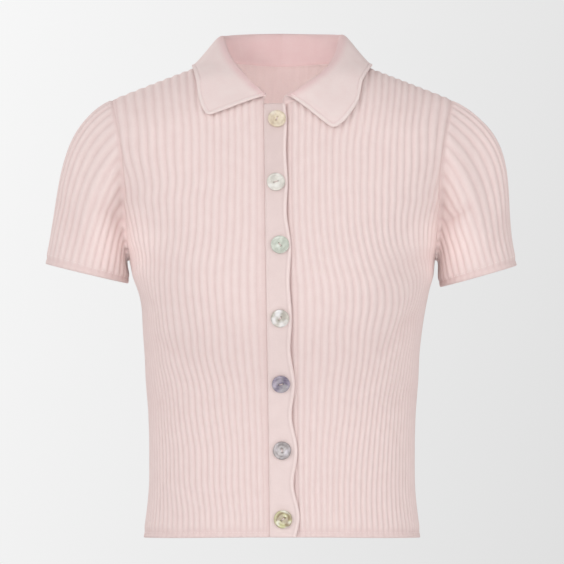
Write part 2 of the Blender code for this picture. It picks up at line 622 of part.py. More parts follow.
def make_button(name, x, z, material):
    """A dished button: a turned profile, with two holes for the thread."""
    r, t, dish = BUTTON_RADIUS, BUTTON_THICK / 2, BUTTON_DISH
    profile = ((0.0, t - dish), (r * 0.55, t - dish), (r * 0.74, t), (r * 0.93, t), (r, 0.0),
               (r * 0.88, -t), (0.0, -t))
    data = bpy.data.meshes.new(name)
    data.from_pydata([(px * MM, 0.0, pz * MM) for px, pz in profile],
                     [(i, i + 1) for i in range(len(profile) - 1)], [])
    data.materials.append(material)
    button = bpy.data.objects.new(name, data)
    PARTS.objects.link(button)
    screw = button.modifiers.new("turned", "SCREW")
    screw.axis, screw.steps, screw.render_steps = "Z", 16, 16
    screw.use_merge_vertices, screw.merge_threshold = True, 0.00001
    for i, shift in enumerate((-HOLE_SPREAD, HOLE_SPREAD)):
        cutter = bpy.data.meshes.new(f"{name}_hole_{i}")
        shape = bmesh.new()
        bmesh.ops.create_cone(shape, cap_ends=True, segments=6, radius1=BUTTON_HOLE * MM,
                              radius2=BUTTON_HOLE * MM, depth=3 * BUTTON_THICK * MM)
        bmesh.ops.translate(shape, verts=shape.verts, vec=(shift * MM, 0.0, 0.0))
        shape.to_mesh(cutter)
        shape.free()
        hole = bpy.data.objects.new(f"{name}_hole_{i}", cutter)
        CUTTERS.objects.link(hole)
        hole.parent, hole.hide_render, hole.display_type = button, True, "WIRE"
        cut = button.modifiers.new(f"hole_{i}", "BOOLEAN")
        cut.object, cut.operation = hole, "DIFFERENCE"
    spot, normal = band_point(np.array([float(x)]), np.array([float(z)]),
                              BAND_OVER + BUTTON_GAP + BUTTON_THICK / 2)
    button.location = Vector(spot[0] * MM)
    button.rotation_euler = Vector(normal[0]).to_track_quat("Z", "X").to_euler()


# ---------------------------------------------------------------- build
for old in list(bpy.data.objects):
    bpy.data.objects.remove(old, do_unlink=True)
PARTS = bpy.data.collections.new(NAME)
CUTTERS = bpy.data.collections.new(NAME + "_cutters")
CUTTERS.hide_render = True
bpy.context.scene.collection.children.link(PARTS)
bpy.context.scene.collection.children.link(CUTTERS)

RIBBED = (0.80, 0.67, 0.64)
PLAIN = (0.78, 0.64, 0.61)
ribbed = {n: paint(n, RIBBED) for n in ("front_right", "front_left", "back", "sleeve_right",
                                        "sleeve_left")}
plain = {n: paint(n, PLAIN) for n in ("collar", "band_right", "band_left")}
SHELL_TINTS = ((0.72, 0.62, 0.54), (0.70, 0.64, 0.61), (0.64, 0.65, 0.60), (0.66, 0.59, 0.57),
               (0.42, 0.36, 0.40), (0.46, 0.41, 0.41), (0.64, 0.60, 0.44))


def band_line(name, z):
    return through(BAND, BAND_COLUMNS, name, z)


def recess_line(z):
    return through(RECESS, RECESS_COLUMNS, "edge", z)


front_right = make_panel("front_right", Panel(
    "right", "front", RIBS_RIGHT, lambda z: -band_line("inner", z) + SEAM), ribbed["front_right"])
front_left = make_panel("front_left", Panel(
    "left", "front", RIBS_LEFT, lambda z: recess_line(z) - 1.0), ribbed["front_left"])
back_panel = make_panel("back", Panel(
    "back", "back", RIBS_BACK, lambda z: np.zeros_like(z)), ribbed["back"])
make_sleeve("sleeve_right", -1.0, front_right, back_panel, ribbed["sleeve_right"])
make_sleeve("sleeve_left", 1.0, front_left, back_panel, ribbed["sleeve_left"])
make_collar("collar", front_right, front_left, back_panel, plain["collar"])

band_z = read(BAND, BAND_COLUMNS, "z")
band_z = np.sort(np.concatenate([band_z, (band_z[1:] + band_z[:-1]) / 2]))
make_band("band_right", band_line("inner", band_z), band_line("edge", band_z), band_z, BAND_OVER,
          plain["band_right"])
make_band("band_left", band_line("inner", band_z) + 2.5, recess_line(band_z) - 1.0 - SEAM, band_z,
          BAND_UNDER, plain["band_left"])
for number, (button_x, button_z) in enumerate(BUTTONS, 1):
    make_button(f"button_{number}", button_x, button_z,
                paint(f"button_{number}", SHELL_TINTS[number - 1], 0.3))
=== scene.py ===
"""Looks of the short sleeve cardigan: a fine ribbed knit, filled out as worn.

Lengths are millimetres until a mesh is laid, where MM makes them metres. +X is the wearer's left,
-Y the front, +Z up, and the origin is midway between the high points of the shoulders. Each knit
piece is a thin closed wall on the same figure surface as its solid, with rounded ribs, narrow
grooves, soft creases and seams that dip where two pieces are linked.
"""
import json
import math
from functools import partial
import bpy
import numpy as np
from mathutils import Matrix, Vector


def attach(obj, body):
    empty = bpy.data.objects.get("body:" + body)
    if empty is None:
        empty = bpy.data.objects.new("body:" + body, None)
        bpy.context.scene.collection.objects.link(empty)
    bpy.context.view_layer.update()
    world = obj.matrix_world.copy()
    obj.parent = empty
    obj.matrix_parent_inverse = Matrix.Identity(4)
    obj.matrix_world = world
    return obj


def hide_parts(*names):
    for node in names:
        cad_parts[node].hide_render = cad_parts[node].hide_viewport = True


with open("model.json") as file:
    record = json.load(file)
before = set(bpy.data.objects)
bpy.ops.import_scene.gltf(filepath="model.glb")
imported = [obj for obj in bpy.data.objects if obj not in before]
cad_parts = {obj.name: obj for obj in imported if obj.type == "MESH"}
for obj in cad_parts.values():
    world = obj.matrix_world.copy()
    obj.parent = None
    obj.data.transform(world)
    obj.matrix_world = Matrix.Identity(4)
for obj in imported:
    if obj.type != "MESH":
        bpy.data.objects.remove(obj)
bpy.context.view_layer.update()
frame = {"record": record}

MM = 0.001


# ---- small tools
class Table:
    """A short table with named columns. read() follows one of them over the first on a smooth
    curve: cubic pieces whose slopes are those of the neighbours."""

    def __init__(self, columns, *rows):
        self.columns = dict(zip(columns.split(), np.array(sorted(rows), float).T))
        self.knots = next(iter(self.columns.values()))

    def read(self, name, at):
        knots, values = self.knots, self.columns[name]
        slopes = np.gradient(values, knots)
        at = np.clip(at, knots[0], knots[-1])
        k = np.clip(np.searchsorted(knots, at, side="right") - 1, 0, len(knots) - 2)
        span = knots[k + 1] - knots[k]
        t = (at - knots[k]) / span
        curve = values[k] + t * t * (3 - 2 * t) * (values[k + 1] - values[k])
        return curve + span * t * (1 - t) * ((1 - t) * slopes[k] - t * slopes[k + 1])


def ramp(low, high, value):
    """0 below low, 1 above high, and 3t^2 - 2t^3 between."""
    t = np.clip((value - low) / (high - low), 0, 1)
    return t * t * (3 - 2 * t)


def bell(away, wide):
    """exp(-(away/wide)^2): 1 in the middle, and dying away over wide."""
    return np.exp(-((away / wide) ** 2))


def length(vectors, keepdims=False):
    """Length of each vector."""
    return np.linalg.norm(vectors, axis=-1, keepdims=keepdims)


def unit(vectors):
    """Each vector over its length."""
    return vectors / np.maximum(length(vectors, True), 1e-9)


def round_about(count):
    """Cosines and sines at even steps round a circle."""
    angle = np.linspace(0, 2 * np.pi, count, endpoint=False)
    return np.cos(angle), np.sin(angle)


def between(places, knots, points):
    """Points on straight lines between the given ones, each coordinate by itself."""
    return np.stack([np.interp(places, knots, points[:, i]) for i in range(3)], -1)


def arc_lengths(points):
    """Length run along a path up to each of its points."""
    return np.concatenate([[0], np.cumsum(length(np.diff(points, axis=0)))])


def even_out(values, passes=1):
    """Averages each row with its two neighbours, in place; the first and the last row stay."""
    for _ in range(passes):
        values[1:-1] = (values[:-2] + 2 * values[1:-1] + values[2:]) / 4


def even_round(values, passes):
    """The same round a ring, where each row has two neighbours."""
    for _ in range(passes):
        values = (np.roll(values, 1, 0) + 2 * values + np.roll(values, -1, 0)) / 4
    return values


# ---- sizes of the garment
WALL, RIB = 1.6, 1.3  # knit at the bottom of a groove, and a rib's height over it
INSIDE = 0.45  # share of a rib's height by which the inside follows it
EDGE, EDGE_RIB = 4.5, 0.35  # self-finished edge at hem and cuff, and its share of the rib
EDGE_LINE, LINE_DEEP = 1.15, 0.35  # a sunk line, at this many edges above the hem, and its depth
SEAM_DIP, SEAM_REACH = 0.6, 2.8  # how deep and how wide a linked seam sinks
HPS_X, HPS_Z = 65.0, 5.0  # high point of the shoulder, where neckline and shoulder line meet
SHOULDER_SLOPE, SHOULDER_BEND = 0.385, 10.0
SHOULDER_ROLL = 60.0  # height over which the body closes towards the shoulder line
BACK_NECK_RISE, FRONT_NECK_Y, BACK_NECK_Y = 22.0, 77.0, 56.0
HEM_Z, HEM_RISE = -479.0, 7.7
BUST_Z, NOTCH_Z, UNDERARM_Z = -235.0, -137.0, -198.0
SQUARE = 2.25  # power of the oval that the body's section follows
EDGE_W, BUST_W = 0.02, 0.66  # shares of the way up to the armhole: the edge, the bust
WALES_PER_RIB, COURSE = 6, 1.15  # stitches across one rib, and the height of a row of stitches
SAMPLES_PER_RIB, CORNERS = 8, 96  # corners go round a button and round the floor
ASKEW = np.array([0.31, 0.22, 0.93])  # a direction that no thread follows
ROWS = {"front": (66, 30, 36), "back": (46, 23, 29)}  # rows to the bust, the armhole, the top
FAR = 99.0  # stands for no seam near
HALF_WIDE, INNER_WIDE, SIDE_TALL = 250.0, 180.0, 110.0  # make rough lengths of a panel's shares
INNER_PAINTED_SHADE, RIM_PAINTED_SHADE = 0.55, 0.2  # painted-shade values of a wall's inside, deep as if in shade, and of its rim, kept light

FIGURE = Table(
    "z half_width front back",
    (-479, 140.5, 92, 93), (-455, 137, 90, 91), (-430, 134.5, 88, 88), (-400, 134, 87, 84),
    (-353, 135, 88, 80), (-321, 137.5, 95, 82), (-289, 139, 108, 86), (-257, 143, 120, 91),
    (-225, 149, 124, 95), (-198, 154.5, 121, 98), (-165, 160, 114, 99), (-137, 166, 107, 98),
    (-100, 176, 98, 94), (-60, 188, 85, 84), (-36, 193, 77, 77), (0, 197, 70, 70),
    (30, 198, 66, 66),
)
BUST = 76.0, -238.0, 44.0, 58.0, 7.0  # x, z, half width, half height and rise of each bell
# the wearer's right side draws in under the arm: z, half height, depth, and the x where it is full
PINCH = -238.0, 27.0, 4.2, 150
ARMHOLE = Table("z x", (-137, 158), (-120, 158.5), (-100, 160.5), (-80, 163), (-60, 167),
                (-45, 170.5), (-34, 172.5), (0, 176))
SPREAD = Table("z spread", (-479, -0.08), (-400, -0.05), (-350, 0.0), (-290, 0.10), (-235, 0.09),
               (-190, 0.03), (-137, -0.02), (-60, 0.05), (30, 0.10))
RIBS_RIGHT, RIBS_LEFT, RIBS_BACK, RIBS_UNDERARM = 21, 22, 22, 7
# How many ribs further out the count runs at each height, at three places across a front: where
# the knit is stretched there are fewer ribs, and where it gathers there are more.
DRIFT = {
    "right": Table(
        "z middle outer edge",
        (-479, 0, 0, 0), (-452, -0.2, -0.2, -0.1), (-422, -0.9, -1.1, -0.6),
        (-387, -0.8, -1.3, -0.8), (-352, -1.1, -1.9, -1.0), (-322, -0.8, -1.5, -1.0),
        (-292, -1.1, -2.1, -1.2), (-267, -0.9, -2.4, -1.5), (-242, -1.0, -2.3, -1.5),
        (-222, -1.0, -2.0, -1.4), (-202, -0.8, -1.4, -1.2), (-182, -0.3, -0.8, -1.2),
        (-130, 0.0, -0.7, -1.6), (-87, 0.1, -1.3, -2.8), (-62, 0.4, -1.1, -2.6),
        (30, 0.3, -0.8, -2.2)),
    "left": Table(
        "z middle outer edge",
        (-479, 0, 0, 0), (-452, -0.2, -0.1, 0), (-387, -0.8, -0.8, -0.4),
        (-352, -1.2, -1.2, -0.6), (-322, -1.0, -1.2, -0.7), (-292, -0.9, -1.4, -0.9),
        (-267, -0.7, -2.0, -1.3), (-242, -0.9, -2.2, -1.5), (-222, -0.6, -1.6, -1.2),
        (-202, 0.3, -0.3, -0.4), (-182, 1.1, 1.3, 1.0), (-162, 1.5, 1.9, 1.6),
        (-137, 1.5, 1.7, 1.4), (-112, 1.2, 1.2, 0.3), (-87, 1.3, 1.2, 0.1), (-62, 1.3, 1.5, 0.2),
        (30, 1.1, 1.2, 0.1)),
}
DRIFT_SHAPE = Table("p middle outer edge",
                    (0, 0, 0, 0), (0.38, 1, 0, 0), (0.60, 0, 1, 0), (0.76, 0, 0, 1), (1, 0, 0, 0))
WANDER_SEED = {"left": 0.3, "right": 1.9, "back": 4.0}

BAND = Table(
    "z inner edge",
    (-42.5, -18, 3.0), (-58, -17.8, 4.2), (-90, -17.3, 3.6), (-121, -16.8, 5.2),
    (-152, -16.4, 4.2), (-183, -16, 8.4), (-218, -15.4, 7.0), (-254, -14.8, 9.2),
    (-286, -14.3, 7.8), (-319, -13.8, 12.2), (-352, -13.4, 9.2), (-386, -12.9, 15.0),
    (-420, -12.5, 11.0), (-454, -12.1, 17.0), (-471.3, -12, 13.5),
)
RECESS = Table("z edge", (-42.5, 3.0), (-152, 4.0), (-218, 6.4), (-286, 7.8), (-352, 9.2),
               (-420, 11.0), (-471.3, 13.0))
BAND_TOP, BAND_FOOT = -42.5, -471.3
BAND_WALL, BAND_OVER, BAND_UNDER, LEFT_DIP, DIP_REACH = 2.0, 1.6, -0.7, 2.2, 12.0

# x, z, and how the two holes lie, in degrees
BUTTONS = ((-5, -58, 70), (-6, -121, 20), (-2, -183, 130), (-2, -254, 55), (-1, -319, 15),
           (0, -386, 100), (1, -454, 40))
BUTTON_RADIUS, BUTTON_THICK, BUTTON_DISH, BUTTON_HOLE, HOLE_SPREAD = 9.0, 2.3, 0.7, 0.95, 1.9
BUTTON_GAP = 0.55

# side: x, y, z, half width, half depth, tilt in degrees, and how far the top bulges out
CUFFS = {-1: (199.4, -3.0, -209.8, 43.6, 46.0, 13.5, 0.05),
         1: (200.6, -3.0, -212.4, 40.8, 52.5, 15.9, 0.18)}
SLEEVE_RIBS = 34

# Soft creases: a line in x and z (x0, z0, x1, z1), its half width and its height (a trough is
# negative). On a sleeve, x counts away from the body.
CREASES = {
    "left": ((146, -192, 104, -214, 9, -2.2), (150, -212, 112, -240, 10, 1.8),
             (130, -254, 100, -288, 8, -2.6), (132, -330, 84, -352, 12, -1.4)),
    "right": ((146, -190, 106, -208, 9, -2.0), (148, -214, 116, -242, 10, 1.6),
              (120, -282, 84, -300, 9, -1.4), (130, -340, 90, -356, 12, -1.3)),
    "back": ((148, -188, 104, -210, 10, -2.2), (-148, -188, -104, -210, 10, -2.2),
             (120, -300, 20, -336, 14, -2.4), (-116, -318, -24, -350, 14, -2.0)),
    "sleeve_left front": ((188, -143, 169, -156, 5.0, -2.4), (196, -160, 172, -174, 9, 1.2),
                          (232, -150, 212, -188, 10, -1.1)),
    "sleeve_left back": ((190, -120, 164, -150, 9, -1.8),),
    "sleeve_right front": ((184, -140, 160, -158, 8, -1.3), (222, -140, 204, -180, 10, -1.0)),
    "sleeve_right back": ((190, -125, 164, -152, 9, -1.6),),
}
CREASE_FADE = 0.6  # how much of a body crease dies away along its line

COLLAR_COLUMNS = "at roll_x roll_y roll_z edge_x edge_y edge_z"
COLLAR_BEHIND = ((1.7, 34, 55, 36, 46, 66, -9), (2.0, 0, 63, 37, 0, 72, -10))
COLLAR = {
    -1: Table(COLLAR_COLUMNS, *COLLAR_BEHIND,
              (0.0, 17.5, -77, -34.0, 74, -80, -54), (0.25, 27, -72, -26, 79, -73, -45),
              (0.5, 42, -57, -11, 84, -58, -31), (0.75, 54, -34, 7, 88, -36, -17),
              (1.0, 61, -3, 26, 91, -8, -2), (1.4, 56, 34, 33, 80, 38, -6)),
    1: Table(COLLAR_COLUMNS, *COLLAR_BEHIND,
             (0.0, 7.0, -79, -34.5, 51, -80, -67), (0.25, 21, -76, -26, 63, -78, -57),
             (0.5, 41, -59, -11, 75, -67, -40), (0.75, 54, -35, 6, 85, -42, -22),
             (1.0, 61, -3, 27, 91, -9, -3), (1.4, 56, 34, 34, 80, 38, -6)),
}
COLLAR_WALL, COLLAR_CLEAR, COLLAR_RIM, POINT_RADIUS = 2.2, 3.5, 0.55, 5.0


# ---- the figure surface
def ridge(x, side):
    """Shoulder line: level beside the neck, then falling by SHOULDER_SLOPE through a soft bend;
    behind the neck it rises as a parabola."""
    bend = np.logaddexp(0.0, (np.abs(x) - HPS_X) / SHOULDER_BEND) - np.log(2.0)
    z = HPS_Z - SHOULDER_SLOPE * (SHOULDER_BEND * bend)
    return z + (side == "back") * BACK_NECK_RISE * np.clip(1 - (x / HPS_X) ** 2, 0, None)


def surface_y(x, z, side, oval, fade):
    """Depth times the oval's share, closed to nothing at the shoulder line by a quarter ellipse,
    and in front a soft rise either side of the centre."""
    drop = np.clip((ridge(x, side) - z) / SHOULDER_ROLL, 0, 1)
    y = FIGURE.read(side, z) * oval * np.sqrt(np.clip(1 - (1 - drop) ** 2, 0, 1))
    if side == "front":
        at_x, at_z, wide, tall, rise = BUST
        rise = rise * bell(np.abs(x) - at_x, wide) * bell(z - at_z, tall)
        y = y + rise * ramp(0.0, 0.35, fade)
    return y


def room(x, z, least=0.0):
    """What |x/a|^n leaves for |y/b|^n in the oval |x/a|^n + |y/b|^n = 1 at height z."""
    return np.clip(1 - (np.abs(x) / FIGURE.read("half_width", z)) ** SQUARE, least, 1)


def depth(x, z, side):
    """Distance of the groove surface from y = 0: the oval's |y| at each x and height."""
    across = room(x, z)
    return surface_y(x, z, side, across ** (1 / SQUARE), across)


def crease_height(x, z, place, fade=0.0):
    """Sum over the creases of rise * exp(-(distance/wide)^2), dying away along each line."""
    total = np.zeros_like(x)
    for x0, z0, x1, z1, wide, rise in CREASES[place]:
        run = np.array([x1 - x0, z1 - z0], float)
        along = np.clip(((x - x0) * run[0] + (z - z0) * run[1]) / (run @ run), 0, 1)
        away = np.hypot(x - x0 - along * run[0], z - z0 - along * run[1])
        total += rise * bell(away, wide) * (1 - fade * along)
    return total


def rib_height(turn):
    """Height of a rib over its groove: |sin(pi * turn)|, round on top and sharp below."""
    return RIB * np.abs(np.sin(np.pi * turn))


def wander(across, z, seed):
    """How far ribs stray sideways, in ribs: three slow sines of different lengths."""
    return (0.030 * np.sin(z / 23.0 + 5.1 * across + seed) + 0.020 * np.sin(z / 11.0 - 9.7 * across)
            + 0.040 * np.sin(z / 57.0 + 2.3 * across + 2 * seed))


def drift(name, p, z):
    """Ribs gained or lost at a place: the table's value at that height, shared out across p."""
    if name not in DRIFT:
        return 0.0
    return sum(DRIFT[name].read(part, z) * DRIFT_SHAPE.read(part, p)
               for part in ("middle", "outer", "edge"))


# ---- panels
class Panel:
    """Half a body panel over p (share of the ribs from centre to side) and w (0 hem, 1 armhole
    notch, 2 neckline or shoulder). start(z) is its x at the centre, and sign is 1 on the left."""

    def __init__(self, name, side, inner_ribs, start, sign):
        self.name, self.side, self.start, self.sign = name, side, start, sign
        self.ribs = inner_ribs + RIBS_UNDERARM
        self.share = inner_ribs / self.ribs
        self.crown_at = np.linspace(0, 1, 401)
        self.crown = self.find_top(self.crown_at)

    def arcs(self, z):
        """Angles round the oval at height z, the share of arc length up to each, and its x."""
        half, deep = (FIGURE.read(name, z)[..., None] for name in ("half_width", self.side))
        first = np.arcsin(np.clip(self.start(z)[..., None] / half, 0, 1) ** (SQUARE / 2))
        angle = first + (np.pi / 2 - first) * np.linspace(0, 1, 41)
        x = half * np.sin(angle) ** (2 / SQUARE)
        y = deep * np.clip(np.cos(angle), 0, 1) ** (2 / SQUARE)
        arc = np.hypot(*(np.diff(v, prepend=v[..., :1]) for v in (x, y))).cumsum(-1)
        return angle, arc / arc[..., -1:], x

    @staticmethod
    def pick(keys, values, at):
        """Values between the two keys either side of at, on a straight line."""
        k = np.clip((keys < at[..., None]).sum(-1), 1, keys.shape[-1] - 1)[..., None]
        (k0, k1), (v0, v1) = ([np.take_along_axis(v, k - i, -1) for i in (1, 0)]
                              for v in (keys, values))
        return (v0 + (at[..., None] - k0) / np.maximum(k1 - k0, 1e-9) * (v1 - v0))[..., 0]

    def flat_point(self, p, z):
        """x and depth at share p of the ribs and height z."""
        angle, arc, x = self.arcs(z)
        high = np.maximum(z, NOTCH_Z)
        _, high_arc, high_x = self.arcs(high)
        reach = self.pick(high_x, high_arc, ARMHOLE.read("x", high))
        reach = self.share + (reach - self.share) * ramp(BUST_Z - 15, NOTCH_Z, z)
        q = np.minimum(p / self.share, 1)
        inside = reach * (q + SPREAD.read("spread", z) * np.sin(np.pi * q) / np.pi)
        past = (p - self.share) / (1 - self.share)
        place = np.where(p / self.share <= 1, inside, reach + (1 - reach) * past)
        at = self.pick(arc, angle, place)
        x = FIGURE.read("half_width", z) * np.sin(at) ** (2 / SQUARE)
        across = np.clip(np.cos(at), 0, 1) ** (2 / SQUARE)
        return x, surface_y(x, z, self.side, across, across ** SQUARE)

    def find_top(self, p):
        """Height where a rib ends at the neckline or on the shoulder, found by halving."""
        neck = FRONT_NECK_Y if self.side == "front" else BACK_NECK_Y
        low, high = np.full_like(p, -75.0), np.full_like(p, 30.0)
        for _ in range(24):
            z = (low + high) / 2
            x, y = self.flat_point(p, z)
            below = y > neck * np.sqrt(np.clip(1 - (x / HPS_X) ** 2, 0, 1)) + 1e-6
            low, high = np.where(below, z, low), np.where(below, high, z)
        return (low + high) / 2

    def height(self, p, w):
        """Height at p, w: straight lines from the hem to the bust and the armhole, then a quarter
        sine to the top. In front the hem rises towards the centre as a cosine."""
        hem = HEM_Z + (HEM_RISE if self.side == "front" else 0.0) * np.cos(p * np.pi / 2) ** 0.9
        past = np.clip((p - self.share) / (1 - self.share), 0, 1)
        under = UNDERARM_Z + (NOTCH_Z - UNDERARM_Z) * (1 - past) ** 1.8
        low = hem + EDGE * np.clip(w / EDGE_W, 0, 1)
        low = low + (BUST_Z - hem - EDGE) * np.clip((w - EDGE_W) / (BUST_W - EDGE_W), 0, 1)
        low = low + (under - BUST_Z) * np.clip((w - BUST_W) / (1 - BUST_W), 0, 1)
        top = np.interp(p, self.crown_at, self.crown)
        high = top - (top - NOTCH_Z) * (1 - np.sin(np.pi / 2 * np.clip(w - 1, 0, 1)))
        return np.where(w <= 1, low, high)

    def base(self, p, w):
        """Groove point at p, w. On the right its x draws in as a bell in height."""
        z = self.height(p, w)
        x, y = self.flat_point(p, z)
        y = y + 0.1
        if self.sign < 0:
            at_z, tall, deep, at_x = PINCH
            x = x - deep * bell(z - at_z, tall) * (x / at_x) ** 4
        return np.stack([self.sign * x, y if self.side == "back" else -y, z], -1)

    def points(self, p, w):
        """Groove points, and normals from the cross product of small steps in p and w."""
        step = 1e-3
        inner = p <= self.share + 1e-9
        low_p, low_w = np.maximum(p - step, 0), np.maximum(w - step, 0)
        high_p = np.minimum(p + step, np.where(inner & (w > 1), self.share, 1))
        high_w = np.minimum(w + step, np.where(inner, 2, 1))
        normal = unit(np.cross(self.base(high_p, w) - self.base(low_p, w),
                               self.base(p, high_w) - self.base(p, low_w)))
        spot = self.base(p, w)
        outward = np.array([0.2 * self.sign, 1.0 if self.side == "back" else -1.0, 0.0])
        normal = normal * np.where((normal @ outward) < 0, -1.0, 1.0)[..., None]
        at_side = (p > 1 - 1e-6) | ((w > 2 - 1e-6) & (np.abs(spot[..., 0]) > HPS_X))
        normal[..., 1] = np.where(at_side, 0.0, normal[..., 1])
        return spot, unit(normal)

    def from_seams(self, p, w):
        """About how far the nearest seam is: the side, the top, the armhole and the underarm."""
        side = HALF_WIDE * (1 - p)
        top = (2 - w) * (self.height(p, np.full_like(p, 2.0)) - NOTCH_Z)
        hole = np.clip(INNER_WIDE * (self.share - p), 0, None)
        under = np.where(p > self.share, (1 - w) * SIDE_TALL, FAR)
        return np.minimum(side, np.where(w > 1, np.minimum(top, hole), under))

    def cloth(self):
        """Groove points with creases and the dip under the upper band, their normals, the rib
        heights, the seams' dips, the stitch counts across and along, and painted shade in the
        crease troughs and beside the upper band's edge."""
        waist, chest, upper = ROWS[self.side]
        w = np.concatenate([np.linspace(0, EDGE_W, 4), np.linspace(EDGE_W, 2.2 * EDGE_W, 5)[1:],
                            np.linspace(2.2 * EDGE_W, BUST_W, waist)[1:],
                            np.linspace(BUST_W, 1, chest)[1:], 1 + np.linspace(0, 1, upper)[1:]])
        p, w = np.meshgrid(np.linspace(0, 1, SAMPLES_PER_RIB * self.ribs + 1), w)
        spot, normal = self.points(p, w)
        x, z = spot[..., 0], spot[..., 2]
        lift = crease_height(x if self.name == "back" else np.abs(x), z, self.name, CREASE_FADE)
        lift = lift * ramp(0, 0.12, 1 - p)
        # painted shade in the troughs of the creases
        shade = 0.3 * np.clip(-lift / 2.5, 0, 1)
        if self.name == "left":  # it passes under the upper band; beside the band's edge a painted shadow deepens its colour, more towards the top
            past = np.abs(x) - self.start(z)
            lift = lift - LEFT_DIP * (1 - ramp(0, DIP_REACH, past))
            shade = shade + (0.55 + 0.5 * ramp(-280, -200, z)) * (1 - ramp(1.5, 6.0, past))
        spot = spot + normal * lift[..., None]

        away = self.from_seams(p, w)
        turn = self.ribs * p + drift(self.name, p, z)
        stray = wander(3 * p, z, WANDER_SEED[self.name] + self.sign)
        turn = turn + np.minimum(1, 12 * p * (1 - p)) * stray
        rib = rib_height(turn) * (EDGE_RIB + (1 - EDGE_RIB) * ramp(EDGE_W, 2.1 * EDGE_W, w))
        rib = rib * ramp(-0.5, 3.5 + 5.0 * ramp(1.6, 1.9, w), away)
        if self.side == "front":
            rib = rib * ramp(0, 1.2, turn)
        rib = rib - LINE_DEEP * bell(w - EDGE_LINE * EDGE_W, 0.22 * EDGE_W)
        return dict(p=p, w=w, spot=spot, normal=normal, rib=rib, shade=shade, share=self.share,
                    dip=SEAM_DIP * (1 - ramp(0, SEAM_REACH, away)), wale=turn * WALES_PER_RIB,
                    course=z / COURSE)


# ---- meshes
def put(name, data):
    """A new object in the scene."""
    made = bpy.data.objects.new(name, data)
    bpy.context.scene.collection.objects.link(made)
    return made


def lay_mesh(name, points, faces, uv, groove, cloth):
    """Puts points (millimetres), groups of faces, their corner uvs and a groove value per point,
    the painted shade, into a smooth mesh that rides on the body. cloth is a slot, which is not
    used, and its finish."""
    mesh = bpy.data.meshes.new(name)
    corners = np.concatenate([group.ravel() for group in faces])
    sizes = np.concatenate([np.full(len(group), group.shape[1]) for group in faces])
    mesh.vertices.add(len(points))
    mesh.vertices.foreach_set("co", (points * MM).astype(np.float32).ravel())
    mesh.loops.add(len(corners))
    mesh.loops.foreach_set("vertex_index", corners.astype(np.int32))
    mesh.polygons.add(len(sizes))
    mesh.polygons.foreach_set("loop_start", (np.cumsum(sizes) - sizes).astype(np.int32))
    mesh.uv_layers.new(name="stitches").uv.foreach_set(
        "vector", np.concatenate([group.reshape(-1, 2) for group in uv]).astype(np.float32).ravel())
    # the groove attribute carries painted shade: higher values deepen the cloth's colour
    mesh.attributes.new("groove", "FLOAT", "POINT").data.foreach_set(
        "value", np.broadcast_to(groove, len(points)).astype(np.float32))
    mesh.update(calc_edges=True)
    mesh.validate()
    mesh.shade_smooth()
    mesh.materials.append(cloth[1])
    piece = put(name, mesh)
    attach(piece, "root")
    return piece


def knit_wall(node, outer, inner, wale, course, groove, cloth, cells=None, wrap=False):
    """A closed wall of cloth that replaces a node: each grid cell gives an outer and an inner face,
    and along the open edges a rim joins them, rolled out by a third of the wall at its middle. wale
    and course count stitches at the grid's corners, with one column more where it wraps round."""
    rows, columns = outer.shape[:2]
    cells = np.ones((rows - 1, columns - (not wrap)), bool) if cells is None else cells
    r, c = np.nonzero(cells)
    corner, stitch = (np.stack([r * wide + c, r * wide + (c + 1) % wide,
                                (r + 1) * wide + (c + 1) % wide, (r + 1) * wide + c], 1)
                      for wide in (columns, wale.shape[1]))
    a, b = outer.reshape(-1, 3), inner.reshape(-1, 3)
    facing = np.cross(a[corner[:, 2]] - a[corner[:, 0]], a[corner[:, 3]] - a[corner[:, 1]])
    if (facing * (a - b)[corner[:, 0]]).sum() < 0:
        corner, stitch = corner[:, ::-1], stitch[:, ::-1]
    start, end = corner.ravel(), np.roll(corner, -1, 1).ravel()
    from_uv, to_uv = stitch.ravel(), np.roll(stitch, -1, 1).ravel()
    count = len(a)
    open_edge = ~np.isin(start * count + end, end * count + start)
    start, end, from_uv, to_uv = (v[open_edge] for v in (start, end, from_uv, to_uv))
    away = np.zeros_like(a)
    push = np.cross(unit(a[end] - a[start]), unit((a - b)[start]))
    np.add.at(away, start, push)
    np.add.at(away, end, push)
    rim, rim_of = np.unique(np.concatenate([start, end]), return_inverse=True)
    middle = (a[rim] + b[rim]) / 2 + unit(away[rim]) * length(a[rim] - b[rim], True) * 0.33
    first, last = 2 * count + rim_of[:len(start)], 2 * count + rim_of[len(start):]
    faces = np.concatenate([corner, corner[:, ::-1] + count,
                            np.stack([end, start, first, last], 1),
                            np.stack([last, first, start + count, end + count], 1)])
    at = np.stack([wale.ravel(), course.ravel()], 1)
    rim_uv = np.stack([at[to_uv], at[from_uv], at[from_uv], at[to_uv]], 1)
    uv = np.concatenate([at[stitch], at[stitch[:, ::-1]], rim_uv, rim_uv])
    used, faces = np.unique(faces, return_inverse=True)
    # the inside and the rim take their painted-shade values
    values = np.concatenate([groove.ravel(), np.full(count, INNER_PAINTED_SHADE),
                             np.full(len(rim), RIM_PAINTED_SHADE)])
    piece = lay_mesh(f"{node}_knit", np.concatenate([a, b, middle])[used], [faces.reshape(-1, 4)],
                     [uv], values[used], cloth)
    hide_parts(node)
    return piece


def hang(grid, sewn=(), wrap=False):
    """Only closes, in a copy, a grid that wraps round with its first column; nothing else is done
    and nothing is returned."""
    if wrap:
        grid = np.concatenate([grid, grid[:, :1]], 1)


def tube_faces(rows, columns):
    """Faces of a grid of rings that wraps round, and of fans at its ends round two more points."""
    c, after = np.arange(columns), np.roll(np.arange(columns), -1)
    r0 = np.arange(rows - 1)[:, None] * columns
    walls = np.stack([r0 + c, r0 + columns + c, r0 + columns + after, r0 + after], -1)
    centre, last = rows * columns, (rows - 1) * columns
    caps = np.concatenate([np.stack([np.full(columns, centre), c, after], 1),
                           np.stack([np.full(columns, centre + 1), last + after, last + c], 1)])
    return walls.reshape(-1, 4), caps


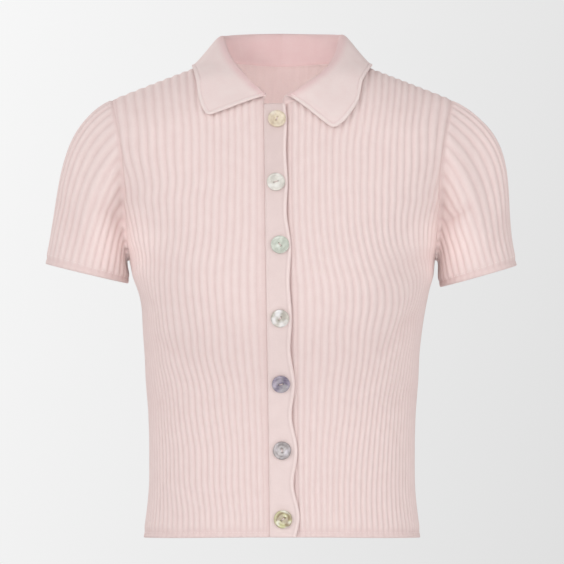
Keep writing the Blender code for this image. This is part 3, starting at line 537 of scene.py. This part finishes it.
def threads(name, paths, radius, cloth, sides=8):
    """Short threads as one piece: each is a round tube along its path, drawn to a point at both
    ends."""
    points, walls, caps, shift = [], [], [], 0
    cosine, sine = (v[:, None] for v in round_about(sides))
    for path in paths:
        along = unit(np.gradient(path, axis=0))
        aside = unit(np.cross(along, ASKEW))
        up = np.cross(along, aside)[:, None]
        ends = np.minimum(np.arange(len(path)), np.arange(len(path))[::-1])
        thick = radius * np.sqrt(np.clip(ends / 1.5, 0.05, 1))[:, None, None]
        ring = path[:, None] + thick * (cosine * aside[:, None] + sine * up)
        points += [ring.reshape(-1, 3), path[:1], path[-1:]]
        wall, cap = tube_faces(len(path), sides)
        walls.append(wall[:, [0, 3, 2, 1]] + shift)
        caps.append(cap[:, [0, 2, 1]] + shift)
        shift += len(path) * sides + 2
    points, walls, caps = (np.concatenate(v) for v in (points, walls, caps))
    return lay_mesh(name, points, [walls, caps], [points[walls][..., ::2], points[caps][..., ::2]],
                    0.1, cloth)


def stitches(name, paths, slot):
    """Short pale threads along their paths, 0.4 mm thick."""
    return threads(name, paths, 0.2, (slot, PALE_THREAD), sides=6)


def edge_stitches(name, row, up):
    """A row of small stitches above a self-finished edge, two to a rib: low parabolas."""
    t = np.linspace(0, 1, 5)[:, None]
    paths = [row[c - 1] * (1 - t) + row[c + 1] * t + up[c] * (0.10 + 0.9 * t * (1 - t))
             for c in range(2, len(row) - 2, SAMPLES_PER_RIB // 2)]
    return stitches(f"{name}_stitches", paths, "rib_knit")


def body_piece(node, *halves):
    """A body panel from its cloth, or the back from two halves that share the centre column. The
    outside is the groove surface raised by rib - dip, and the inside lies WALL + dip below it."""
    cloth = halves[-1]
    if len(halves) == 2:
        mirrored = {**halves[0], "wale": -halves[0]["wale"]}
        cloth = {key: np.concatenate([mirrored[key][:, :0:-1], cloth[key]], 1)
                 for key in cloth if key != "share"}
    p, w, spot, normal, rib, dip = (cloth[key] for key in "p w spot normal rib dip".split())
    outer = spot + normal * (rib - dip)[..., None]
    inner = spot - normal * (WALL + dip - INSIDE * rib)[..., None]
    # painted shade: deepest in the grooves between ribs, plus the panel's painted shade
    groove = 1 - np.clip(rib / RIB, 0, 1) + cloth["shade"]
    column = np.maximum(p[0, :-1], p[0, 1:])
    cells = (w[1:, :1] <= 1 + 1e-9) | (column <= halves[0]["share"] + 1e-9)
    piece = knit_wall(node, outer, inner, cloth["wale"], cloth["course"], groove, RIB_KNIT, cells)
    row = int(np.argmin(np.abs(w[:, 0] - EDGE_LINE * EDGE_W)))
    hang(spot, [edge_stitches(f"{node}_hem", outer[row], normal[row])])


# ---- sleeves
def edge_of(spot, normal, neighbour):
    """Along a panel's edge: its points, its normals, and the directions out of the panel."""
    out = unit(np.cross(normal, np.gradient(spot, axis=0)))
    return [spot, normal, out * np.sign(((spot - neighbour) * out).sum(-1, keepdims=True))]


def armhole_edge(cloth):
    """The armhole from the underarm along w = 1 to the notch, then up to the shoulder's tip."""
    p, w, spot = cloth["p"][0], cloth["w"][:, 0], cloth["spot"]
    low = int(np.argmin(np.abs(w - 1)))
    notch = int(np.argmin(np.abs(p - cloth["share"])))
    rows = np.concatenate([np.full(len(p) - 1 - notch, low), np.arange(low, len(w))])
    columns = np.concatenate([np.arange(len(p) - 1, notch, -1), np.full(len(w) - low, notch)])
    under = columns > notch
    return edge_of(spot[rows, columns], cloth["normal"][rows, columns],
                   spot[np.where(under, rows - 1, rows), np.where(under, columns, columns - 1)])


def spline(a, b, c, d, t):
    """Cubic curve from a to d with the handles b and c, at share t."""
    return a * (1 - t) ** 3 + 3 * b * t * (1 - t) ** 2 + 3 * c * t * t * (1 - t) + d * t ** 3


def turned(spot, normal, out, aim, bend, short, shares):
    """A seam's first strip: an arc that leaves along out and turns towards the normal until it
    points at aim. Its length grows with the angle it turns through."""
    angle = np.maximum(np.arctan2((aim * normal).sum(-1), (aim * out).sum(-1)), 0)
    angle = np.clip(angle, 1e-3, 3.1)[..., None]
    length = short + bend * angle
    rows = [spot + length / angle * (out * np.sin(angle * s) + normal * (1 - np.cos(angle * s)))
            for s in shares]
    ups = [normal * np.cos(angle * s) - out * np.sin(angle * s) for s in shares]
    return rows, ups, out * np.cos(angle) + normal * np.sin(angle)


def sleeve(side, front, back):
    """A tube from the armhole's edge to the tilted oval cuff, its ribs running down the arm. q goes
    round it from the underarm over the front to the top (a half) and down the back."""
    node = "sleeve_right" if side < 0 else "sleeve_left"
    ours = armhole_edge(front)
    spot, normal, out = (np.concatenate([f, b[::-1]]) for f, b in zip(ours, armhole_edge(back)))
    arc = arc_lengths(spot)
    arc = arc / arc[-1]
    half = (arc[len(ours[0]) - 1] + arc[len(ours[0])]) / 2
    columns = SAMPLES_PER_RIB * SLEEVE_RIBS
    q = np.arange(columns) / columns
    where = np.interp(q - 0.34 * np.sin(4 * np.pi * q) / (4 * np.pi), [0, 0.5, 1], [0, half, 1])
    spot, normal, out = (between(where, arc, v) for v in (spot, normal, out))
    normal, out = unit(even_round(normal, 6)), unit(even_round(out, 6))

    cx, cy, cz, across, deep, tilt, cap = CUFFS[side]
    lean = np.radians(tilt)
    outward = np.array([side * np.cos(lean), 0.0, np.sin(lean)])
    axis = np.array([side * np.sin(lean), 0.0, -np.cos(lean)])
    turn = 2 * np.pi * q[:, None]
    cuff = (np.array([side * cx, cy, cz]) - np.cos(turn) * across * outward
            - np.sin(turn) * deep * np.array([0.0, 1.0, 0.0]))
    aim = unit(cuff - spot)
    height = spot[:, 2:]
    top = ramp(-112, -40, height)
    strip, ups, _ = turned(spot, normal, out, aim, 1.55, 3.0, (0, 0.2, 0.4, 0.7, 1.0))
    start = strip[-1]
    reach = length(cuff - start, True)
    leave = unit(np.where(top > 0, (1 - top) * (aim + 0.35 * normal) + top * 1.3 * out,
                          aim + 0.35 * normal * ramp(-190, -150, height)))
    first, second = start + leave * reach * (0.30 + cap * top), cuff - axis * reach * 0.40
    near = 1 - EDGE / np.maximum(reach * 1.05, 20.0)
    steps = [near * t for t in np.linspace(0, 1, 48)[1:]]
    steps += [near + (1 - near) * t for t in (.33, .66, 1)]
    grid = np.array(strip + [spline(start, first, second, cuff, t) for t in steps])
    soft = np.swapaxes(even_round(np.swapaxes(grid, 0, 1), 260), 0, 1)
    crown = bell(q - 0.5, 0.10)[None, :, None]
    grid = grid + (soft - grid) * crown * ramp(0, 14, np.arange(len(grid)))[:, None, None]
    normals = unit(np.cross(np.roll(grid, -1, 1) - np.roll(grid, 1, 1), np.gradient(grid, axis=0)))
    facing = ((grid - grid.mean(1, keepdims=True)) * normals).sum(-1).mean()
    normals = normals * np.where(facing < 0, -1.0, 1.0)
    normals[:len(ups)] = ups

    run, _ = grid_runs(grid)
    left = run[-1] - run
    x, y, z = np.moveaxis(grid, -1, 0)
    phase = SLEEVE_RIBS * q + 0.5 + wander(np.sin(2 * np.pi * q), z, side)
    rib = rib_height(phase) * ramp(-0.5, 4.0, run)
    rib = rib * (EDGE_RIB + (1 - EDGE_RIB) * ramp(EDGE, 2 * EDGE, left))
    rib = rib - LINE_DEEP * bell(left - EDGE_LINE * EDGE, 1.0)
    dip = SEAM_DIP * (1 - ramp(0, SEAM_REACH, run))
    fold = sum(crease_height(side * x, z, f"{node} {face}") * ramp(4, 20, sign * y)
               for face, sign in (("front", -1), ("back", 1))) * ramp(2, 14, run)
    outer = grid + normals * (rib - dip + fold)[..., None]
    inner = grid - normals * (WALL + dip - fold - INSIDE * rib)[..., None]
    wale = np.concatenate([phase, phase[:, :1] + SLEEVE_RIBS], 1) * WALES_PER_RIB
    course = np.concatenate([run, run[:, :1]], 1) / COURSE
    # painted shade: deepest in the grooves between ribs and in the troughs of the creases
    groove = 1 - np.clip(rib / RIB, 0, 1) + 0.5 * np.clip(-fold / 2.4, 0, 1)
    piece = knit_wall(node, outer, inner, wale, course, groove, RIB_KNIT, wrap=True)
    row = int(np.argmin(np.abs(left[:, 0] - EDGE_LINE * EDGE)))
    hang(grid, [edge_stitches(f"{node}_cuff", outer[row], normals[row])], wrap=True)


# ---- collar
def neck_edge(cloth):
    """A panel's neckline from its centre to the high point of the shoulder."""
    spot = cloth["spot"]
    last = int(np.argmax(np.abs(spot[-1, :, 0]) >= HPS_X)) + 1
    return edge_of(spot[-1, :last], cloth["normal"][-1, :last], spot[-2, :last])


def lift_clear(row):
    """Moves points of the fall out, so that it lies over the shoulders and the chest."""
    x, y, z = row.T.copy()
    for side, sign in (("front", -1.0), ("back", 1.0)):
        ours = y * sign >= 0
        full = FIGURE.read(side, z) * room(x, z, 0.01) ** (1 / SQUARE)
        low = np.abs(y) / full < 0.85
        share = np.minimum(np.abs(y) / full, 0.85)
        rise = np.sqrt(1 - share ** 2)
        slope = SHOULDER_ROLL * share / (full * rise)
        over = ridge(x, side) - SHOULDER_ROLL * (1 - rise) + COLLAR_CLEAR * np.hypot(1, slope)
        row[:, 2] = np.where(ours & low, np.maximum(z, over), row[:, 2])
        out = np.maximum(np.abs(y), depth(x, z, side) + COLLAR_CLEAR)
        row[:, 1] = np.where(ours & ~low, sign * out, row[:, 1])


def grid_runs(grid):
    """Lengths run along a grid's columns from its first row, and along its rows from the first
    column."""
    return (length(np.diff(grid, axis=0, prepend=grid[:1])).cumsum(0),
            length(np.diff(grid, axis=1, prepend=grid[:, :1])).cumsum(1))


def round_corners(grid):
    """Rounds the two points of the collar: there, distances a and b from the two edges shrink
    towards the corner's inside as a square is pressed into a disc."""
    run, along = grid_runs(grid)
    below = run[-1] - run
    up = unit(-np.gradient(grid, axis=0))
    for side, inward in ((along, 1.0), (along[:, -1:] - along, -1.0)):
        u, v = (np.clip(1 - d / POINT_RADIUS, 0, 1) for d in (side, below))
        press = 1 - np.maximum(u, v) / np.maximum(np.hypot(u, v), 1e-9)
        press = np.where((u > 0) & (v > 0), press, 0)
        across = inward * unit(np.gradient(grid, axis=1))
        grid = grid + POINT_RADIUS * press[..., None] * (u[..., None] * across + v[..., None] * up)
    return grid


def collar_lines(sign, front, back):
    """Half the neckline with its normals and outward directions, and beside it the lines of the
    roll and of the fall's edge. Stations 0, 1 and 2 are centre front, shoulder and centre back."""
    ours = neck_edge(front)
    joined = [np.concatenate([f, b[::-1]]) for f, b in zip(ours, neck_edge(back))]
    arc = arc_lengths(joined[0])
    seam = arc[len(ours[0]) - 1]
    station = np.concatenate([np.linspace(0, seam, 80), np.linspace(seam, arc[-1], 70)[1:]])
    at = np.interp(station, [0, seam, arc[-1]], [0, 1, 2])
    lines = [np.stack([COLLAR[sign].read(f"{line}_{axis}", at) for axis in "xyz"], -1)
             * np.array([sign, 1, 1]) for line in ("roll", "edge")]
    return [*(between(station, arc, v) for v in joined), *lines]


def collar(right, left, back_right, back_left):
    """A stand from the neckline, a roll and a pointed fall, as strips between three lines."""
    spot, normal, out, roll, edge = (
        np.concatenate([r, np.flip(l, 0)[1:]])
        for r, l in zip(collar_lines(-1, right, back_right), collar_lines(1, left, back_left)))
    for v in (normal, out):
        even_out(v, 12)
    normal, out = unit(normal), unit(out)
    spot = spot + normal * (COLLAR_WALL - WALL) / 2
    strip, ups, heading = turned(spot, normal, out, unit(roll - spot), 1.0, 2.0,
                                 (0, 0.25, 0.5, 0.75, 1.0))
    start = strip[-1]
    over = unit((edge - roll) * (1, 1, 0.15))  # the fall leaves the roll nearly level
    tall, long = length(roll - start, True), length(edge - roll, True)
    tight = np.minimum(0.45 * tall, 5.0)
    down = unit(edge - roll)
    centre = strip + [spline(start, start + heading * tall * 0.4, roll - over * tight, roll, t)
                      for t in np.linspace(0, 1, 15)[1:]]
    turn = len(centre) - 1  # the row of the roll
    falls = np.concatenate([np.linspace(0, 0.2, 9)[1:], np.linspace(0.2, 0.93, 22)[1:],
                            np.linspace(0.93, 1, 6)[1:]])
    centre += [spline(roll, roll + over * 5.5, edge - down * long * 0.4, edge, t) for t in falls]
    centre = np.array(centre)
    moved = centre.copy()
    for row, t in zip(moved[-len(falls):], falls):
        if t > 0.1:
            lift_clear(row)
    moved = moved - centre
    for _ in range(14):
        even_out(np.swapaxes(moved, 0, 1))
        even_out(moved)
    centre = round_corners(centre + moved)
    normals = unit(np.cross(np.gradient(centre, axis=0), np.gradient(centre, axis=1)))
    normals = normals * np.where((normals[0] * normal).sum() < 0, -1.0, 1.0)
    normals[:len(ups)] = ups

    run, along = grid_runs(centre)
    fallen = run - run[turn]
    fall = ramp(-1, 8, fallen)
    border = np.minimum(run[-1] - run, np.minimum(along, along[:, -1:] - along))
    low = centre[..., 2] + 6.0  # the rim is lost over the shoulder
    rim = (1 - ramp(2.4, 3.3, border)) * np.maximum(ramp(0, 14, -low), ramp(8, 26, centre[..., 1]))
    swell = (COLLAR_RIM * rim - 0.30 * bell(border - 3.5, 0.6)) * fall
    swell = swell + 0.5 * np.sin(along[:1] / 13.0 + run / 21.0) * ramp(0, 20, fallen)
    shown = centre - normals * (COLLAR_WALL - 0.3 + swell)[..., None]
    wale = np.broadcast_to(along[:1] / 1.2, run.shape)
    # painted shade: deep on the stand's inside, a painted highlight on the fall's raised rim, and
    # deeper along the sunk line inside the rim
    groove = 0.25 + 1.3 * (1 - fall) - 0.3 * rim * fall + 0.4 * bell(border - 3.5, 0.7)
    piece = knit_wall("collar", shown, centre, wale, run / COURSE, groove, COLLAR_KNIT)
    tacks = [np.linspace(shown[r, c], shown[r, c + step], 6) - normals[r, c] * 0.12
             for c, step in ((2, 3), (-3, -3)) for r in range(turn + 1, turn + 7, 2)]
    hang(centre, [stitches("collar_end_stitches", tacks, "plain_knit")])


# ---- bands
def band_point(x, z, lift):
    """A point over the chest surface near the centre front, and the outward normal there."""
    step = 0.5
    slope_x = (depth(x + step, z, "front") - depth(x - step, z, "front")) / (2 * step)
    slope_z = (depth(x, z + step, "front") - depth(x, z - step, "front")) / (2 * step)
    normal = unit(np.stack([-slope_x, -np.ones_like(x), -slope_z], -1))
    return np.stack([x, -(depth(x, z, "front") + 0.15), z], -1) + normal * lift[..., None], normal


def band(node, low, high, lift, upper):
    """A strip of plain knit down the front between the lines low(z) and high(z). The upper one has
    a soft ridge along its free edge and puckers beside every button."""
    z = np.linspace(BAND_FOOT, BAND_TOP, 340)
    share = np.concatenate([[0, 0.03, 0.07, 0.12], np.linspace(0.16, 0.84, 16),
                            [0.88, 0.93, 0.97, 1]])
    wide = (high(z) - low(z))[:, None]
    x = low(z)[:, None] + wide * share
    height = np.repeat(z[:, None], len(share), 1)
    free = (1 - share) * wide  # how far the free edge is
    rise = np.full(x.shape, lift, float)
    # the bands deepen in colour towards the top
    groove = 0.7 + 0.35 * ramp(-270, -190, height) + 0.55 * ramp(-150, -110, height)
    if upper:
        rise = rise + 0.35 * (1 - ramp(2.2, 3.4, free)) - 0.4 * (1 - ramp(0, 2.6, share * wide))
        for bx, bz, _ in BUTTONS:
            for end in (-13, 13):
                rise = rise + 0.45 * bell(height - bz + end, 5.0) * bell(x - bx, 7.0)
            rise = rise - 0.5 * bell(height - bz, 11.0) * bell(x - bx, 5.0)
        # on the upper band: a painted highlight on the raised rim of the free edge, and a line of
        # painted shade at its foot
        groove = groove * ramp(1.6, 3.6, free) + 0.9 * bell(free - 3.3, 0.7)
    rise = rise - 0.35 * (1 - ramp(0, 1.0, np.minimum(share, 1 - share) * wide))
    outer, base = (band_point(x, height, up)[0]
                   for up in (rise, np.full(x.shape, lift - BAND_WALL + 0.2)))
    piece = knit_wall(node, outer, base, x / 1.2, height / COURSE, groove, PLAIN_KNIT)
    hang(outer)


# ---- buttons
def button(number, finish):
    """A turned button as one closed surface r, angle: a dished middle, a round rim and a flat back.
    Its two holes are pits: the height falls by a smooth step of the distance to a hole. Two threads
    cross between them."""
    bx, bz, turn = BUTTONS[number - 1]
    r, half = BUTTON_RADIUS, BUTTON_THICK / 2
    spot, normal = band_point(*np.array([[bx], [bz], [BAND_OVER + BUTTON_GAP + half]]))
    outward = normal[0]
    across = unit(np.cross(np.array([0.0, 0.0, 1.0]), outward))
    axes = np.stack([across, np.cross(outward, across), outward])

    radius = np.concatenate([np.linspace(0.15, 3.4, 24), np.linspace(3.6, 0.9 * r, 16),
                             r * np.array([0.93, 0.96, 0.985, 1.0, 0.985, 0.95, 0.9, 0.5, 0.15])])
    height = half - BUTTON_DISH * (1 - ramp(0.55, 0.76, radius / r))
    height = height + 0.12 * bell(radius / r - 0.86, 0.06)
    height[40:] = half * np.array([0.93, 0.78, 0.5, 0.05, -0.5, -0.85, -1.0, -1.0, -1.0])
    x, y = (radius[:, None] * v for v in round_about(CORNERS))
    z = np.repeat(height[:, None], CORNERS, 1)
    lean = math.radians(turn)
    for sign in (-HOLE_SPREAD, HOLE_SPREAD):
        hole = np.hypot(x - sign * math.cos(lean), y - sign * math.sin(lean))
        z[:24] -= 1.3 * (1 - ramp(BUTTON_HOLE - 0.22, BUTTON_HOLE + 0.12, hole[:24]))
    local = np.concatenate([np.stack([x, y, z], -1).reshape(-1, 3),
                            [[0, 0, height[0]], [0, 0, height[-1]]]])
    node = f"button_{number}"
    slot = next(s["material_slot"] for s in frame["record"]["subparts"] if s["node"] == node)
    faces = tube_faces(*x.shape)
    piece = lay_mesh(f"{node}_shell", spot[0] + local @ axes, faces,
                     [local[group][..., :2] for group in faces], 0.0, (slot, finish))
    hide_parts(node)

    reach = np.linspace(-1, 1, 15)[:, None]
    lay = reach * np.array([math.cos(lean), math.sin(lean), 0.0]) * (HOLE_SPREAD + 0.1)
    lay = lay + np.array([0, 0, 1.0]) * (half - BUTTON_DISH + 0.25 - 1.0 * np.abs(reach) ** 6)
    aside = np.array([-math.sin(lean), math.cos(lean), 0.0])
    threads(f"{node}_thread", [spot[0] + (lay + shift * aside) @ axes for shift in (-0.28, 0.28)],
            0.22, (slot, THREAD))


# ---- finishes
def add(tree, kind, inputs=(), **settings):
    """A node with its settings and inputs; an input that is a socket is linked."""
    made = tree.nodes.new(kind)
    for key, value in settings.items():
        setattr(made, key, value)
    for key, value in dict(inputs).items():
        if isinstance(value, bpy.types.NodeSocket):
            tree.links.new(value, made.inputs[key])
        else:
            made.inputs[key].default_value = value
    return made


def maths(tree, operation, *values):
    """What a Math node gives."""
    return add(tree, "ShaderNodeMath", dict(enumerate(values)), operation=operation).outputs[0]


def noise(tree, where, scale, **inputs):
    """What a noise texture gives: a smooth random value about a half."""
    return add(tree, "ShaderNodeTexNoise", {"Vector": where, "Scale": scale, **inputs}).outputs[0]


def blend(tree, factor, a, b):
    """Blends two colours; the colour sockets of the Mix node are its seventh and eighth inputs."""
    a, b = ((*c, 1.0) if isinstance(c, tuple) else c for c in (a, b))
    return add(tree, "ShaderNodeMix", {0: factor, 6: a, 7: b}, data_type="RGBA").outputs[2]


def blank(name, roughness, **settings):
    """A new material, its nodes and its shader with these settings."""
    material = bpy.data.materials.new(name)
    material.use_nodes = True
    shader = material.node_tree.nodes["Principled BSDF"]
    for key, value in {"Roughness": roughness, **settings}.items():
        shader.inputs[key].default_value = value
    return material, material.node_tree, shader


def knit_finish(name, light, deep, bump):
    """Fine knit: rows of V-shaped stitches, cos(2 pi (course + slant * |wale - 1/2|)), a soft
    heather in the yarn, and painted shade: the groove attribute blends the light colour towards the
    deep one, a shaded copy of it, in grooves, creases and other hollows."""
    material, tree, shader = blank(name, 0.93, **{
        "Sheen Weight": 0.18, "Sheen Roughness": 0.45, "Sheen Tint": (1.0, 0.86, 0.82, 1.0),
        "Specular IOR Level": 0.25})
    do = partial(maths, tree)
    uv = add(tree, "ShaderNodeUVMap", uv_map="stitches").outputs[0]
    wale, course = add(tree, "ShaderNodeSeparateXYZ", {0: uv}).outputs[:2]
    leg = do("ABSOLUTE", do("SUBTRACT", do("FRACT", wale), 0.5))
    stitch = do("COSINE", do("MULTIPLY", do("ADD", course, do("MULTIPLY", leg, 1.5)), 2 * math.pi))
    valley = do("MULTIPLY", do("POWER", do("MULTIPLY", leg, 2.0), 4.0), -1.2)
    fuzz = do("MULTIPLY", noise(tree, uv, 1.7, Detail=4.0), 1.6)
    relief = do("ADD", do("ADD", stitch, valley), fuzz)
    knit = add(tree, "ShaderNodeBump", {"Height": relief, "Strength": bump, "Distance": 0.00022})
    tree.links.new(knit.outputs[0], shader.inputs["Normal"])
    groove = add(tree, "ShaderNodeAttribute", attribute_name="groove").outputs["Fac"]
    clouds = ((noise(tree, uv, 0.09, Detail=3.0), 0.5), (noise(tree, uv, 0.8, Detail=2.0), 0.35))
    heather, yarn = (do("MULTIPLY", do("SUBTRACT", cloud, 0.5), much) for cloud, much in clouds)
    # painted shade from the groove attribute, plus the random tone of the heather and the yarn
    shade = do("ADD", do("MULTIPLY", groove, 0.6), do("ADD", heather, yarn))
    tree.links.new(blend(tree, shade, light, deep), shader.inputs["Base Color"])
    return material


def shell_finish(name, dark, pale, glint, turn):
    """Polished shell: clouds that drift between two tints, faint growth lines and soft painted
    glints, pale patches set at random, under a clear gloss."""
    material, tree, shader = blank(name, 0.28, **{"Coat Weight": 0.5, "Coat Roughness": 0.12})
    do = partial(maths, tree)
    where = add(tree, "ShaderNodeMapping", {
        "Vector": add(tree, "ShaderNodeTexCoord").outputs["Object"],
        "Rotation": (0.0, turn, 0.7 * turn)}).outputs[0]
    clouds = noise(tree, where, 85.0, Detail=2.0, Distortion=1.2)
    lines = add(tree, "ShaderNodeTexWave", {"Vector": where, "Scale": 130.0, "Distortion": 5.0,
                                            "Detail": 2.0}).outputs["Fac"]
    # painted glints: a noise picks soft patches that take the glint colour
    clouds, painted_glint = (add(tree, "ShaderNodeMapRange", {0: value, 1: low, 2: high}).outputs[0]
                    for value, low, high in ((clouds, 0.38, 0.64),
                                             (noise(tree, where, 120.0, Detail=1.0), 0.52, 0.72)))
    tint = do("ADD", clouds, do("MULTIPLY", do("SUBTRACT", lines, 0.5), 0.22))
    base = blend(tree, do("MULTIPLY", painted_glint, 0.8), blend(tree, tint, dark, pale), glint)
    tree.links.new(base, shader.inputs["Base Color"])
    return material


def plain_finish(name, colour, roughness):
    """A matt surface with a faint cloud in its colour."""
    material, tree, shader = blank(name, roughness)
    clouds = noise(tree, add(tree, "ShaderNodeTexCoord").outputs["Object"], 3.0)
    paler = tuple(min(1.0, 1.03 * c) for c in colour)
    tree.links.new(blend(tree, clouds, colour, paler), shader.inputs["Base Color"])
    return material


# ---- camera, light and floor
# the world: how much it lights, its grey, and what a step to the right and one up add to that
AMBIENT, GREY, TO_RIGHT, TO_UP = 0.715, 0.838, -0.76, 0.25
FLOOR_Z, FLOOR_RADIUS = -0.75, 1.5
MIDDLE = (0, 0, -0.25)
# place, target, width and power of each round soft lamp
LAMPS = {
    "key": ((-1.9, -2.2, 0.9), MIDDLE, 1.0, 20.0),
    "front": ((0.3, -3.3, -0.15), MIDDLE, 1.6, 24.0),
    "fill": ((2.2, -1.8, -0.2), MIDDLE, 1.4, 15.0),
    "behind": ((-1.2, 2.6, 1.0), MIDDLE, 1.6, 24.0),
    "neck": ((0, -0.05, -0.13), (0, 0.06, -0.08), 0.05, 0.13),
}
BEAM_DEGREES, BEAM_POWER = 3.4, 18.0


def look_from_the_front():
    """A level camera 3.1 m in front of the garment, whose frame is 564 mm wide at the front."""
    camera = put("camera", bpy.data.cameras.new("camera"))
    camera.location = (0.0, -3.1, -0.219)
    camera.rotation_euler = (math.pi / 2, 0.0, 0.0)
    film, away, wide = 36.0, 3.04, 0.564  # away and wide are those of the plane of the front
    camera.data.sensor_width = film
    camera.data.lens = film * away / wide
    camera.data.clip_end = 50.0
    bpy.context.scene.camera = camera


def lamp(kind, name, place, target, power):
    """A light at place that shines towards target."""
    light = bpy.data.lights.new(name, kind)
    light.energy = power
    holder = put(name, light)
    holder.location = place
    holder.rotation_euler = (Vector(target) - Vector(place)).to_track_quat("-Z", "Y").to_euler()
    return holder, light


def studio():
    """A pale world, a touch lighter on the left, a pale round floor well below the garment, soft
    lamps in front, a small one in the neck that lights the inside of the back, and a narrow beam
    from the front into the shade of each underarm, which fades from its middle to its edge."""
    world = bpy.data.worlds.new("studio")
    bpy.context.scene.world = world
    world.use_nodes = True
    tree, shader = world.node_tree, world.node_tree.nodes["Background"]
    do = partial(maths, tree)
    towards = add(tree, "ShaderNodeTexCoord").outputs["Generated"]
    parts = add(tree, "ShaderNodeSeparateXYZ", {0: towards}).outputs
    across, upward = (add(tree, "ShaderNodeClamp", {0: part, 1: -0.12, 2: 0.12}).outputs[0]
                      for part in (parts[0], parts[2]))
    pale = do("ADD", do("MULTIPLY", across, TO_RIGHT), do("MULTIPLY", upward, TO_UP))
    pale = do("ADD", pale, GREY)
    tree.links.new(pale, shader.inputs[0])
    seen = add(tree, "ShaderNodeLightPath").outputs["Is Camera Ray"]
    tree.links.new(do("ADD", do("MULTIPLY", seen, 1 - AMBIENT), AMBIENT), shader.inputs[1])
    rim = [(FLOOR_RADIUS * x, FLOOR_RADIUS * y, FLOOR_Z) for x, y in zip(*round_about(CORNERS))]
    mesh = bpy.data.meshes.new("floor")
    mesh.from_pydata(rim, [], [range(CORNERS)])
    mesh.materials.append(plain_finish("pale_floor", (0.82, 0.82, 0.82), 0.9))
    put("floor", mesh)
    for name, (place, target, size, power) in LAMPS.items():
        holder, light = lamp("AREA", name, place, target, power)
        light.shape, light.size = "DISK", size
        holder.visible_camera = False
    for side in (-1, 1):
        _, light = lamp("SPOT", "underarm", (side * 0.096, -1.23, -0.199),
                        (side * 0.158, -0.03, -0.184), BEAM_POWER)
        light.spot_size, light.spot_blend = math.radians(BEAM_DEGREES), 1.0
        light.shadow_soft_size = 0.02
    bpy.context.scene.view_settings.view_transform = "Standard"


# ---- making
look_from_the_front()
studio()

# each cloth is a slot and a finish, which has a light colour, a deep colour that is its
# shaded copy for painted shade (rosier on the collar), and a relief
RIB_KNIT, PLAIN_KNIT, COLLAR_KNIT = ((slot, knit_finish(*looks)) for slot, *looks in (
    ("rib_knit", "rib_knit", (0.82, 0.677, 0.655), (0.71, 0.535, 0.518), 0.35),
    ("plain_knit", "plain_knit", (0.82, 0.683, 0.662), (0.70, 0.565, 0.546), 0.3),
    ("plain_knit", "collar_knit", (0.81, 0.685, 0.662), (0.74, 0.53, 0.525), 0.3)))
THREAD = plain_finish("thread", (0.74, 0.60, 0.58), 0.8)
PALE_THREAD = plain_finish("pale_thread", (0.90, 0.80, 0.78), 0.8)

# dark and pale tints of each button's shell, and the colour of its painted glints
SHELLS = (
    ((0.58, 0.46, 0.33), (0.76, 0.66, 0.51), (0.84, 0.78, 0.68)),
    ((0.52, 0.49, 0.44), (0.70, 0.67, 0.61), (0.84, 0.82, 0.78)),
    ((0.46, 0.49, 0.42), (0.64, 0.67, 0.59), (0.80, 0.82, 0.77)),
    ((0.42, 0.39, 0.34), (0.58, 0.54, 0.48), (0.90, 0.88, 0.90)),
    ((0.16, 0.13, 0.20), (0.36, 0.33, 0.35), (0.52, 0.46, 0.56)),
    ((0.25, 0.22, 0.22), (0.42, 0.38, 0.38), (0.60, 0.55, 0.60)),
    ((0.30, 0.23, 0.13), (0.58, 0.57, 0.30), (0.94, 0.94, 0.86)),
)

band_edge, recess_edge = partial(BAND.read, "edge"), partial(RECESS.read, "edge")
band_inner = partial(BAND.read, "inner")

right = Panel("right", "front", RIBS_RIGHT, lambda z: 0.3 - band_inner(z), -1.0).cloth()
left = Panel("left", "front", RIBS_LEFT, lambda z: recess_edge(z) - 1.0, 1.0).cloth()
back_right, back_left = (Panel("back", "back", RIBS_BACK, np.zeros_like, sign).cloth()
                         for sign in (-1.0, 1.0))
body_piece("front_right", right)
body_piece("front_left", left)
body_piece("back", back_right, back_left)
sleeve(-1, right, back_right)
sleeve(1, left, back_left)
collar(right, left, back_right, back_left)
band("band_right", band_inner, band_edge, BAND_OVER, True)
band("band_left", lambda z: band_inner(z) + 2.5, lambda z: recess_edge(z) - 1.3, BAND_UNDER, False)
for number, shell in enumerate(SHELLS, 1):
    button(number, shell_finish(f"shell_{number}", *shell, turn=0.9 * number))
